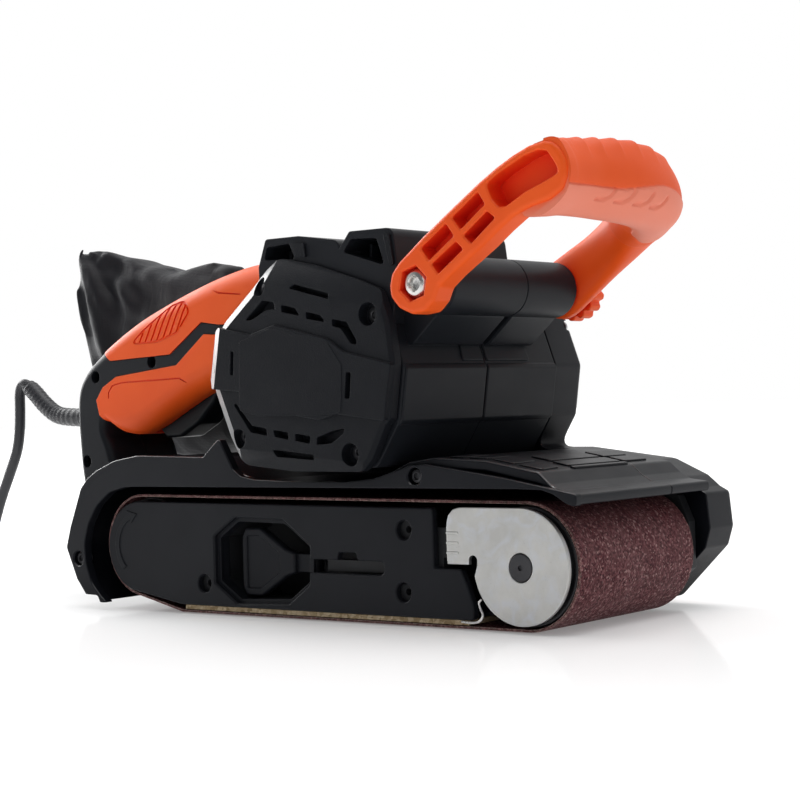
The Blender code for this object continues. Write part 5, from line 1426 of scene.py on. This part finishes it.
# (distance along the tilted plane, height above it) of the arm's front end
ARM_END = [(78.6, -1.0), (78.2, -6.3), (75.6, -10.8), (71.4, -13.4), (65.0, -13.0),
           (58.0, -10.2)]
ARM_OUTLINE = [
    (53.2, 125.0), (54.4, 129.6), (58.0, 133.6), (70.0, 142.4), (82.2, 150.6), (95.1, 159.0),
    (103.2, 163.7), (110.3, 167.2), (117.3, 169.9), (124.1, 171.0), (127.6, 170.4),
    *[arch_point(along, 0, above)[::2] for along, above in ARM_END],
    (110.4, 146.2), (103.7, 142.0), (96.5, 136.9), (81.7, 127.6), (76.0, 123.4),
    (73.8, 118.8), (69.8, 115.2), (63.6, 114.4), (57.4, 117.0), (53.8, 121.0),
]
# outline, depth, corner radius
ARM_POCKETS = [
    ([(98.9, 158.2), (104.3, 161.4), (115.7, 166.5), (121.8, 168.0), (125.4, 167.4),
      (127.9, 164.2), (130.6, 159.6), (124.7, 157.2), (116.1, 154.2), (107.6, 149.9),
      (104.3, 149.7), (101.3, 152.8)], 8.6, 2.2),
    ([(83.3, 147.7), (95.2, 155.8), (98.2, 151.2), (87.0, 143.2)], 8.2, 1.0),
    ([(88.2, 141.0), (99.0, 148.8), (102.6, 146.2), (91.7, 138.0)], 8.2, 1.0),
    ([(68.7, 137.9), (80.5, 145.8), (84.0, 141.2), (72.3, 133.2)], 8.2, 1.0),
    ([(73.4, 131.9), (84.8, 139.2), (88.0, 136.2), (76.4, 128.2)], 8.2, 1.0),
]
ABOVE_ARM = [(88.0, 156.0), (103.2, 163.7), (110.3, 167.2), (117.3, 169.9), (123.4, 171.2),
             (124.6, 182.0), (90.0, 182.0)]


def front_handle():
    """Soft grip across the nose, the pocketed near arm and the plain far arm."""
    rings, tones = swept(GRIP_STATIONS, 22, 144, 0.85, grip_relief, straight=8.0)
    draft = bmesh.new()
    layer = draft.verts.layers.float.new("panel")
    for ring, tone in zip(skin(draft, rings), tones):
        for vertex, value in zip(ring, tone):
            vertex[layer] = value
    grip = make("front_grip_overmould", draft, ORANGE_SOFT, 50)

    arm_side = rounded(ARM_OUTLINE, 4.0, 4)
    arm = slab("front_handle_arm", arm_side, ARM_Y0, ARM_Y1, 1.9, 1.2, ORANGE, steps=5)
    far_arm = skinned("front_handle_far_arm", swept(FAR_ARM_STATIONS, 8, 64, 0.8)[0])
    face = ARM_Y0 - OVER
    combine(
        arm,
        bolt_hole(-60, -40),
        cut(circle(*PIVOT, 6.6, 6, 0.3), face, -50.6, -0.5),
        *[cut(rounded(pocket, radius), face, ARM_Y0 + depth, -0.5)
          for pocket, depth, radius in ARM_POCKETS],
    )
    # takes away the grip where it lies inside the arm or above its upper edge
    combine(grip, cut(inset(arm_side, 0.9), -60.0, ARM_Y1), cut(ABOVE_ARM, -60.0, -44.8))
    stand(grip, "front_handle_grip")
    combine(far_arm, bolt_hole(30, 50))
    far_arm.data.materials.append(ORANGE)
    trim(far_arm, "front_handle_frame")
    stand(arm, "front_handle_frame")


def handle_clamp():
    """Cross-slotted bolt through the pivot and its ribbed knob on the far side."""
    seat_y = -50.9
    # (radius, y from the seat)
    profile = [(0, -1.2), (2.0, -1.4), (2.3, -2.6), (2.8, -3.2), (4.2, -2.9), (5.2, -1.9),
               (5.6, -0.6), (5.6, 0), (3.5, 0), (3.5, 98.5), (2.6, 99.4), (0, 99.4)]
    bolt = revolve("clamp_bolt_head", [(radius, seat_y + y) for radius, y in profile], PIVOT,
                   BRIGHT, count=48)
    slots = []
    for wide, high in ((3.0, 0.55), (0.55, 3.0)):
        slot = box(PIVOT_X - wide, PIVOT_X + wide, PIVOT_Z - high, PIVOT_Z + high)
        slots.append(cut(slot, -56, seat_y - 1.9))
    stand(combine(bolt, *slots), "handle_clamp_bolt")
    top_y = 50.6
    knob = serrated("clamp_knob_ribbed", PIVOT, 12.0, 14, 1.5, 43.0, top_y, 0.6, 1.4, ORANGE)
    recess = cut(circle(*PIVOT, 7.4, 56), 49.8, top_y + OVER, 0.0, -0.3)
    stand(combine(knob, bolt_hole(42, 49.0), recess), "handle_clamp_knob")


# ---------------------------------------------------------------- rear handle
# outer x, z, inner x, z, half width in y, corner radius
HANDLE_STATIONS = [
    (-10.0, 142.0, -10.0, 103.0, 20.5, 10.5), (-34.0, 142.6, -36.0, 101.6, 20.3, 10.5),
    (-56.5, 141.0, -60.0, 97.6, 20.0, 10.5), (-74.0, 137.6, -83.5, 90.2, 20.0, 10.5),
    (-90.0, 133.2, -100.0, 83.0, 19.9, 10.5), (-106.0, 127.8, -113.5, 76.6, 19.8, 10.0),
    (-121.5, 121.6, -125.0, 72.6, 19.8, 9.0), (-135.0, 114.4, -133.6, 73.3, 19.8, 7.5),
    (-146.0, 107.0, -138.0, 76.2, 19.8, 5.5), (-154.5, 100.0, -140.6, 78.4, 19.8, 4.5),
    (-159.2, 92.0, -142.2, 77.4, 19.8, 4.0), (-160.2, 80.0, -142.2, 72.6, 19.8, 3.6),
    (-159.2, 65.0, -138.6, 65.8, 19.8, 3.4), (-157.4, 52.4, -136.0, 55.0, 19.8, 3.2),
    (-154.0, 41.0, -138.6, 42.4, 19.6, 3.0), (-147.0, 31.6, -142.6, 31.8, 19.4, 2.0),
]
UPPER_LINE = [(-10.0, 117.4), (-69.6, 117.2), (-80.1, 118.7), (-99.6, 105.9),
              (-136.9, 104.4), (-142.5, 108.5)]
LOWER_LINE = [
    (-10.0, 112.4), (-73.5, 113.2), (-78.6, 113.6), (-95.6, 101.2), (-133.3, 97.4),
    (-142.0, 93.0), (-146.4, 87.5), (-144.6, 81.0), (-139.0, 75.2), (-136.6, 69.5),
]
HANDLE_FOOT = [(-133.0, 62.4), (-123.0, 60.6), (-119.0, 58.6), (-130.8, 50.4),
               (-138.2, 42.0), (-142.6, 34.0), (-146.0, 42.0), (-142.0, 56.0)]
TRIGGER_WINDOW = [(-124.5, 66.0), (-124.5, 87.0), (-121.0, 95.0), (-117.0, 98.6),
                  (-80.0, 98.6), (-79.0, 80.0), (-100.0, 64.0)]
GRIP_OVAL = rounded([(-124.0, 110.8), (-115.6, 117.0), (-99.8, 126.9), (-90.6, 128.6),
                     (-85.6, 124.0), (-94.0, 114.6), (-106.5, 111.2)], 6.0, 8)
UPPER_SEAM = [(-88.1, 128.4), (-77.8, 133.3), (-69.1, 130.3), (-57.0, 129.2)]
LOWER_SEAM = [(-138.4, 88.3), (-138.2, 90.6), (-135.9, 93.5), (-129.1, 94.8),
              (-93.9, 95.6), (-86.9, 92.5), (-74.6, 92.2)]
HANDLE_SCREWS = [(-146.8, 97.6), (-153.6, 60.8), (-111.0, 103.1)]
BUTTON = -97.0, 114.5
DIAL = -58.0, 126.5
# y range that holds each side of the handle, and the skin of each side
SIDES = {"near": (-30.0, -4.0), "far": (4.0, 30.0)}
SKINS = {"near": (-30, -19.55), "far": (19.55, 30)}


def handle_form(name, grow, look=None):
    """The whole handle's shape, grown outwards by so much."""
    corner_points = 18
    rings = []
    for ax, az, bx, bz, wide, radius in catmull(HANDLE_STATIONS, 5):
        outer, inner = Vector((ax, az)), Vector((bx, bz))
        middle, across = (outer + inner) / 2, outer - inner
        half = across.length / 2 + grow
        across.normalize()
        wide += grow
        corner = min(radius, half * 0.96, wide * 0.96)
        ring = []
        for quarter, (out, side) in enumerate([(1, 1), (-1, 1), (-1, -1), (1, -1)]):
            for k in range(corner_points):
                turn = math.radians(90 * quarter + 90 * (k / (corner_points - 1)))
                p = middle + across * (out * (half - corner) + corner * math.cos(turn))
                ring.append((p.x, side * (wide - corner) + corner * math.sin(turn), p.y))
        rings.append(ring)
    return skinned(name, rings, look, 40)


def handle_screw_holes():
    return [bore(at, 2.7, -26, -14.5, count=36) for at in HANDLE_SCREWS]


def window():
    return cut(TRIGGER_WINDOW, -7.5, 7.5)


def rear_handle_body():
    """Two half shells, and the inner body seen between the grips and in the window."""
    upper = [(-4, 117.1)] + offset(UPPER_LINE, -0.25)[1:] + [(-165, 151), (-4, 151)]
    lower = [(-4, 112.7)] + offset(LOWER_LINE, 0.25)[1:] + [(-4, 60)]
    for side, y0, y1 in (("near", -30, -GAP / 2), ("far", GAP / 2, 30)):
        combine(
            handle_form(f"rear_handle_{side}_shell", 0.0, BLACK),
            join(rounded(HANDLE_FOOT, 1.6, 4), -16.0, 16.0, 1.4, 1.4),
            keep(box(-170, 0, 20, 160), y0, y1),
            cut(upper, -32, 32),
            cut(lower, -32, 32),
            *(handle_screw_holes() if side == "near" else []),
        )
        stand(bpy.data.objects[f"rear_handle_{side}_shell"], f"rear_handle_{side}")
    heart = handle_form("rear_handle_heart", -1.4, BLACK)
    combine(
        heart,
        window(),
        bore(BUTTON, 4.0, 9.0, 24.0, count=32),
        bore(DIAL, 9.2, 14.2, 24.0, count=48),
        cut([(-114, 95), (-114, 113), (-84, 113), (-84, 95)], -10, 10),
        *handle_screw_holes(),
    )
    trim(heart, "rear_handle_near")


def grooves(line, side):
    """Thin cutters that follow a line on one side of the handle."""
    width = 0.3
    out = []
    for start, end in zip(line, line[1:]):
        start, end = Vector(start), Vector(end)
        ahead = (end - start).normalized()
        across = Vector((-ahead.y, ahead.x)) * width
        first, last = start - ahead * width, end + ahead * width
        quad = [first - across, last - across, last + across, first + across]
        out.append(cut([tuple(p) for p in quad], *SKINS[side]))
    return out


def grip_ribs(side):
    """Slanted ribs inside the oval, a little proud of the handle's side."""
    ribs = handle_form(f"grip_ribs_{side}", 0.4, ORANGE)
    lean = math.radians(62)
    along = Vector((math.cos(lean), math.sin(lean))) * 16
    across = Vector((-math.sin(lean), math.cos(lean))) * 0.95
    bars = bmesh.new()
    for k in range(9):
        centre = Vector((-122.0 + 4.4 * k, 112.8 + 1.75 * k))
        quad = [centre - along - across, centre + along - across, centre + along + across,
                centre - along + across]
        skin(bars, [[(p.x, y, p.y) for p in quad] for y in SIDES[side]])
    bar_tool = make("tool", bars)
    combine(ribs, keep(shrunk(GRIP_OVAL, 1.0), *SIDES[side]), ("&", bar_tool))
    trim(ribs, "upper_grip")


def rear_grips():
    """Orange upper and lower grips with seam grooves, and the ribbed ovals."""
    upper = handle_form("upper_grip_moulding", 0.25, ORANGE)
    combine(
        upper,
        keep(UPPER_LINE + [(-160, 150), (-5, 150), (-5, 117.4)], -32, 32),
        bore(BUTTON, 4.0, 9.0, 26.0, count=40),
        bore(DIAL, 9.2, 14.2, 26.0, count=56),
    )
    for side in SIDES:
        combine(upper, *grooves(UPPER_SEAM, side))
        well = slab("tool", GRIP_OVAL, *SIDES[side])
        combine(well, ("-", handle_form("tool", -0.25)))
        combine(upper, ("-", well))
    stand(upper, "upper_grip")
    for side in SIDES:
        grip_ribs(side)
    lower = handle_form("lower_grip_moulding", 0.25, ORANGE)
    combine(lower, keep(LOWER_LINE + [(-5, 60), (-5, 112.4)], -32, 32), window())
    combine(lower, *grooves(LOWER_SEAM, "near"), *grooves(LOWER_SEAM, "far"))
    stand(lower, "lower_grip")


def controls():
    """Trigger, lock button, speed dial and tracking knob."""
    outline = [(-119.5, 88.0), (-113.0, 92.8), (-88.5, 92.8), (-84.0, 91.8), (-88.0, 84.5),
               (-97.0, 76.2), (-108.0, 70.6), (-117.5, 70.2), (-121.0, 74.0)]
    outline = rounded(outline, [3, 2, 2, 1.5, 6, 8, 6, 3, 3], 6)
    trigger = slab("trigger_moulding", outline, -7.0, 7.0, 1.8, 1.8, SATIN, steps=4)
    stand(trigger, "trigger")

    top_y = 21.6
    button = disc("lock_button_cap", BUTTON, 3.6, 12.6, top_y, 0.2, 0.9, SATIN, count=48)
    combine(button, cut(circle(*BUTTON, 2.3, 40), 21.0, top_y + OVER, 0.0, -0.3))
    stand(button, "lock_button")

    top_y = 21.8
    dial = serrated("speed_dial_wheel", DIAL, 8.6, 24, 0.7, 14.6, top_y, 0.4, 0.6, SATIN,
                    power=1.0)
    combine(
        dial,
        cut(circle(*DIAL, 6.2, 48), 21.2, top_y + OVER, 0.0, -0.3),
        join(rounded(box(-58.6, -57.4, 127.6, 132.0), 0.4), 20.6, 21.7, 0.0, 0.15),
    )
    stand(dial, "speed_dial")

    top_y = 73.6
    knob = serrated("tracking_knob_ribbed", TRACKING, 9.0, 18, 0.9, 66.4, top_y, 0.5, 1.0,
                    ORANGE)
    combine(
        knob,
        ("+", disc("tool", TRACKING, 2.8, 54.0, 68.0, 0.3, count=32)),
        cut(rounded(box(80.4, 91.6, 23.2, 24.8), 0.5), 72.4, top_y + OVER),
    )
    stand(knob, "tracking_knob")


# ---------------------------------------------------------------- dust outlet, collar, bag
# closed (radius, x) profiles about the outlet's axis
OUTLET = [
    (13.0, -73.6), (17.6, -73.6), (18.0, -74.0), (18.0, -75.6), (17.4, -75.9), (15.4, -76.0),
    (15.2, -76.4), (15.2, -96.6), (15.6, -97.4), (15.6, -99.6), (14.8, -101.1),
    (13.6, -101.1), (13.0, -100.6),
]
COLLAR = [
    (16.0, -80.6), (20.6, -80.6), (21.0, -81.0), (21.0, -83.2), (20.6, -83.6), (18.9, -83.8),
    (18.6, -84.2), (18.6, -100.2), (20.2, -101.4), (20.6, -102.0), (20.6, -104.2),
    (20.0, -104.6), (16.4, -104.6), (16.0, -104.2),
]
# x, top z, bottom z, near y, far y
BAG_STATIONS = [
    (-106.5, 124.0, 84.5, 31.0, 70.0), (-109.5, 138.0, 78.0, 29.0, 75.0),
    (-114.6, 146.2, 71.0, 28.0, 78.5), (-125.0, 148.2, 65.0, 27.6, 80.0),
    (-138.0, 149.8, 62.0, 27.4, 81.0), (-150.0, 151.4, 60.2, 27.4, 81.0),
    (-161.0, 153.0, 59.0, 27.4, 79.0), (-175.0, 155.4, 59.0, 27.6, 75.0),
    (-188.0, 157.6, 62.0, 27.8, 68.0), (-197.0, 160.0, 68.0, 26.5, 60.0),
    (-203.0, 160.6, 78.0, 25.0, 51.0), (-208.0, 161.0, 90.0, 23.5, 43.0),
    (-212.4, 160.6, 100.0, 22.5, 38.0),
]


def dust_outlet():
    centre = OUTLET_Y, OUTLET_Z
    stand(revolve("dust_outlet_spout", OUTLET, centre, BLACK, axis="X"), "dust_outlet")
    stand(revolve("bag_collar_ring", COLLAR, centre, BLACK, axis="X"), "bag_collar")


def bag_form():
    rings = []
    for x, z1, z0, y0, y1 in catmull(BAG_STATIONS, 3):
        ring = []
        for k in range(56):
            turn = 2 * math.pi * k / 56
            cos, sin = math.cos(turn), math.sin(turn)
            # pinched to the near side towards the top, full lower down
            drawn = 0.78 * smooth_step(0.25, 1.0, sin) * smooth_step(-107, -118, x)
            y = (y0 + y1) / 2 + (y1 - y0) / 2 * signed_power(cos, 0.75)
            z = (z0 + z1) / 2 + (z1 - z0) / 2 * signed_power(sin, 0.8)
            ring.append((x, y + (y0 + 3.0 - y) * drawn, z))
        rings.append(ring)
    return skinned("dust_bag_cloth", rings, FABRIC, 60)


def blow_up(obj):
    """Vertex places after 20 frames of cloth under pressure, held at the collar."""
    pins = obj.vertex_groups.new(name="pins")
    for vertex in obj.data.vertices:
        weight = smooth_step(-0.113, -0.1065, vertex.co.x)
        if weight > 0:
            pins.add([vertex.index], weight, "REPLACE")
    cloth = obj.modifiers.new("Cloth", "CLOTH")
    settings = cloth.settings
    settings.quality = 5
    settings.mass = 0.25
    settings.tension_stiffness = settings.compression_stiffness = 12.0
    settings.shear_stiffness = 6.0
    settings.bending_stiffness = 0.4
    settings.use_pressure = True
    settings.uniform_pressure_force = 3.0
    settings.shrink_min = -0.03
    settings.vertex_group_mass = "pins"
    settings.effector_weights.gravity = 0.0
    cloth.point_cache.frame_start = 1
    cloth.point_cache.frame_end = 20
    for number in range(1, 21):
        scene.frame_set(number)
    blown = evaluated(obj)
    obj.modifiers.clear()
    moved = [v.co.copy() for v in blown.vertices]
    scene.frame_set(1)
    bpy.data.meshes.remove(blown)
    return moved


def crease(x, y, z):
    """How far the creased cloth stands out at a point, in millimetres."""
    # upright folds near the closed end
    wander = 2.4 * noise.noise(Vector((0.0, y * 0.02, z * 0.03)))
    folds = (1.9 * smooth_step(-150, -196, x) * math.sin((x + 0.16 * z + wander) / 2.9)
             * smooth_step(58, 80, z) * smooth_step(160, 140, z))
    # fan from the upper rear corner
    reach = math.hypot(x + 208, z - 160)
    fan = (1.5 * math.sin(math.atan2(z - 160, x + 208) * 17.0 + 1.3)
           * math.exp(-((reach - 40) / 34.0) ** 2))
    # gathers round the collar
    reach = math.hypot(x + 100, z - 104)
    gather = 1.2 * math.sin(math.atan2(z - 104, x + 100) * 15.0) * smooth_step(42, 14, reach)
    slow = (2.2 * noise.noise(Vector((x * 0.028, y * 0.03, z * 0.022)))
            + 1.0 * noise.noise(Vector((x * 0.07 + 4, y * 0.06, z * 0.045))))
    return (folds + fan + gather + slow) * smooth_step(-105, -112, x)


def dust_bag():
    """Nylon sack, blown up as cloth, then creased."""
    obj = bag_form()
    remesh = obj.modifiers.new("Remesh", "REMESH")
    remesh.mode = "VOXEL"
    remesh.voxel_size = 0.0033
    remesh.use_smooth_shade = True
    mesh = evaluated(obj)
    obj.modifiers.clear()
    obj.data = mesh
    rest = [v.co.copy() for v in mesh.vertices]
    moved = blow_up(obj)
    most = 0.005  # furthest the cloth may move, in metres
    places = []
    for start, end in zip(rest, moved):
        shift = end - start
        if shift.length > most:
            shift = shift.normalized() * most
        places.append(start + shift)
    for vertex, p in zip(mesh.vertices, places):
        vertex.co = p
    mesh.update()
    normals = [v.normal.copy() for v in mesh.vertices]
    for vertex, normal, p in zip(mesh.vertices, normals, places):
        x, y, z = p.x * 1000, p.y * 1000, p.z * 1000
        # leans the lower part of the closed end forwards
        slant = 11.0 * smooth_step(164, 96, z) * smooth_step(-128, -205, x)
        vertex.co = p + normal * crease(x, y, z) * MM + Vector((slant * MM, 0.0, 0.0))
    mesh.update()
    subdivision = obj.modifiers.new("Subdivision", "SUBSURF")
    subdivision.levels = subdivision.render_levels = 1
    final = evaluated(obj)
    obj.modifiers.clear()
    obj.data = final
    final.materials.clear()
    final.materials.append(FABRIC)
    final.shade_smooth()
    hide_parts("dust_bag")
    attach(obj, "dust_collector")


# ---------------------------------------------------------------- cord
SLEEVE_PATH = [
    (-158.0, 0.0, 80.2), (-172.0, 0.0, 80.0), (-186.0, 0.0, 80.2), (-196.5, 0.0, 81.5),
    (-204.5, 0.0, 85.8), (-211.5, 0.0, 91.4), (-216.5, 0.0, 95.0),
]
CORD_PATH = [
    (-215.0, 0.0, 94.2), (-217.0, 0.0, 95.4), (-219.6, 0.0, 96.2), (-222.0, 0.0, 95.0),
    (-223.2, 0.0, 91.0), (-223.3, 0.0, 84.0), (-224.0, 0.0, 74.0), (-226.3, 0.0, 64.8),
    (-232.0, 0.0, 54.0), (-239.0, 0.5, 42.6), (-246.0, 1.5, 30.0), (-252.0, 3.0, 18.0),
    (-258.0, 6.0, 8.6), (-266.0, 11.0, 4.0), (-276.0, 18.0, 2.8), (-287.6, 28.0, 2.7),
]


def sleeve_radius(share):
    """Collar, ringed taper, narrow tip."""
    if share < 0.04:
        return 5.2
    if share > 0.95:
        return 3.4
    return 4.3 - 0.5 * share - (0.16 if int(share * 44) % 2 else 0.0)


def cord():
    sleeve = pipe("cord_guard_sleeve", catmull(SLEEVE_PATH, 14), sleeve_radius, RUBBER, 28, 30)
    stand(sleeve, "cord_sleeve")
    cable = pipe("power_cord_cable", catmull(CORD_PATH, 8), 2.4, RUBBER, 24)
    stand(cable, "power_cord")


def soften_cad_pieces():
    """Pieces that keep their CAD shape get soft edges."""
    for node in nodes.values():
        if node.hide_render:
            continue
        bevel = node.modifiers.new("Bevel", "BEVEL")
        bevel.width = 0.00022
        bevel.segments = 2
        bevel.limit_method = "ANGLE"
        bevel.angle_limit = math.radians(40)


# ---------------------------------------------------------------- stage, light, camera (metres)
def floor_look():
    """White paper with a faint gloss, glowing more away from the middle."""
    tree = Shader("floor_paper")
    tree.tree.nodes.remove(tree.bsdf)
    diffuse = tree.node("ShaderNodeBsdfDiffuse", {"Color": (0.88, 0.88, 0.88)})
    dull = tree.add(tree.times(tree.noise(size=60.0, detail=3.0), 0.03), 0.07)
    gloss = tree.node("ShaderNodeBsdfGlossy", {"Roughness": dull})
    away = tree.node("ShaderNodeVectorMath", {0: tree.mm}, operation="LENGTH")
    share = tree.math("DIVIDE", away.outputs["Value"], 4000.0, clamp=True)
    strength = tree.add(0.20, tree.times(tree.rise(share, low=0.05, high=0.7), 0.7))
    glow = tree.node("ShaderNodeEmission", {"Strength": strength})
    paper = tree.node("ShaderNodeMixShader",
                      {0: 0.22, 1: diffuse.outputs[0], 2: gloss.outputs[0]})
    total = tree.node("ShaderNodeAddShader", {0: paper.outputs[0], 1: glow.outputs[0]})
    tree.feed(tree.tree.nodes["Material Output"].inputs["Surface"], total.outputs[0])
    return tree.material


def floor():
    z = -0.0004
    obj = link(bpy.data.objects.new("floor", bpy.data.meshes.new("floor")))
    draft = bmesh.new()
    draft.faces.new([draft.verts.new((x, y, z)) for x, y in box(-6, 6, -6, 10)])
    draft.to_mesh(obj.data)
    draft.free()
    obj.data.materials.append(floor_look())


def world():
    """White to the camera; reflections see grey in front turning white behind."""
    studio = bpy.data.worlds.new("studio")
    scene.world = studio
    studio.use_nodes = True
    tree = Nodes(studio.node_tree)
    coord = tree.node("ShaderNodeTexCoord")
    view = Vector((-0.566, 0.824, 0.0)).normalized()
    dot = tree.node("ShaderNodeVectorMath", {0: coord.outputs["Generated"], 1: view},
                    operation="DOT_PRODUCT")
    # from -1..1 to 0..1
    share = tree.node("ShaderNodeMath", {0: dot.outputs["Value"], 1: 0.5, 2: 0.5},
                      operation="MULTIPLY_ADD")
    shade = tree.ramp(share.outputs[0], [(0.34, (0.08, 0.08, 0.085)), (0.72, (1.0, 1.0, 1.0))])
    seen = tree.node("ShaderNodeLightPath").outputs["Is Camera Ray"]
    background = studio.node_tree.nodes["Background"]
    tree.feed(background.inputs["Color"], tree.mix(seen, shade, (1.0, 1.0, 1.0)))
    background.inputs["Strength"].default_value = 1.0


def lamp(name, where, target, size, power):
    data = bpy.data.lights.new(name, "AREA")
    data.shape = "RECTANGLE"
    data.size, data.size_y = size
    data.energy = power
    obj = link(bpy.data.objects.new(name, data))
    obj.location = where
    aim = Vector(target) - Vector(where)
    obj.rotation_euler = aim.to_track_quat("-Z", "Y").to_euler()


def lamps():
    lamp("overhead_softbox", where=(0.1, 0.1, 1.35), target=(0.0, 0.0, 0.08), size=(1.5, 1.1),
         power=12.5)
    lamp("key_softbox", where=(1.0, -1.25, 0.9), target=(0.02, 0.0, 0.08), size=(0.9, 0.9),
         power=3.2)
    lamp("rim_softbox", where=(-1.5, 0.15, 0.55), target=(-0.02, 0.0, 0.09), size=(1.0, 1.0),
         power=21)


def camera():
    place_x, place_y, place_z = 0.497955, -0.569236, 0.084359
    yaw, pitch, roll = (math.radians(a) for a in (34.4476, -0.8526, -1.66127))
    ahead = Vector((-math.sin(yaw) * math.cos(pitch), math.cos(yaw) * math.cos(pitch),
                    -math.sin(pitch)))
    level = Vector((math.cos(yaw), math.sin(yaw), 0.0))
    upright = level.cross(ahead)
    right = level * math.cos(roll) + upright * math.sin(roll)
    top = -level * math.sin(roll) + upright * math.cos(roll)
    data = bpy.data.cameras.new("camera")
    data.sensor_width = 36.0
    data.lens = 84.083985
    data.shift_x = -0.25000875
    data.shift_y = -0.0437525
    data.clip_start, data.clip_end = 0.01, 50
    obj = link(bpy.data.objects.new("camera", data))
    obj.matrix_world = Matrix((
        (right.x, top.x, -ahead.x, place_x),
        (right.y, top.y, -ahead.y, place_y),
        (right.z, top.z, -ahead.z, place_z),
        (0, 0, 0, 1),
    ))
    scene.camera = obj
    scene.view_settings.view_transform = "Standard"
    scene.view_settings.look = "None"


for build in (
    dress_cad_pieces, belt, drive_roller, front_roller, side_plate, tension_bracket,
    tension_lever, belt_guards, nose_ribs, motor_housing, end_cap, drive_cover, front_handle,
    handle_clamp, rear_handle_body, rear_grips, controls, dust_outlet, dust_bag, cord,
    soften_cad_pieces, floor, world, lamps, camera,
):
    build()
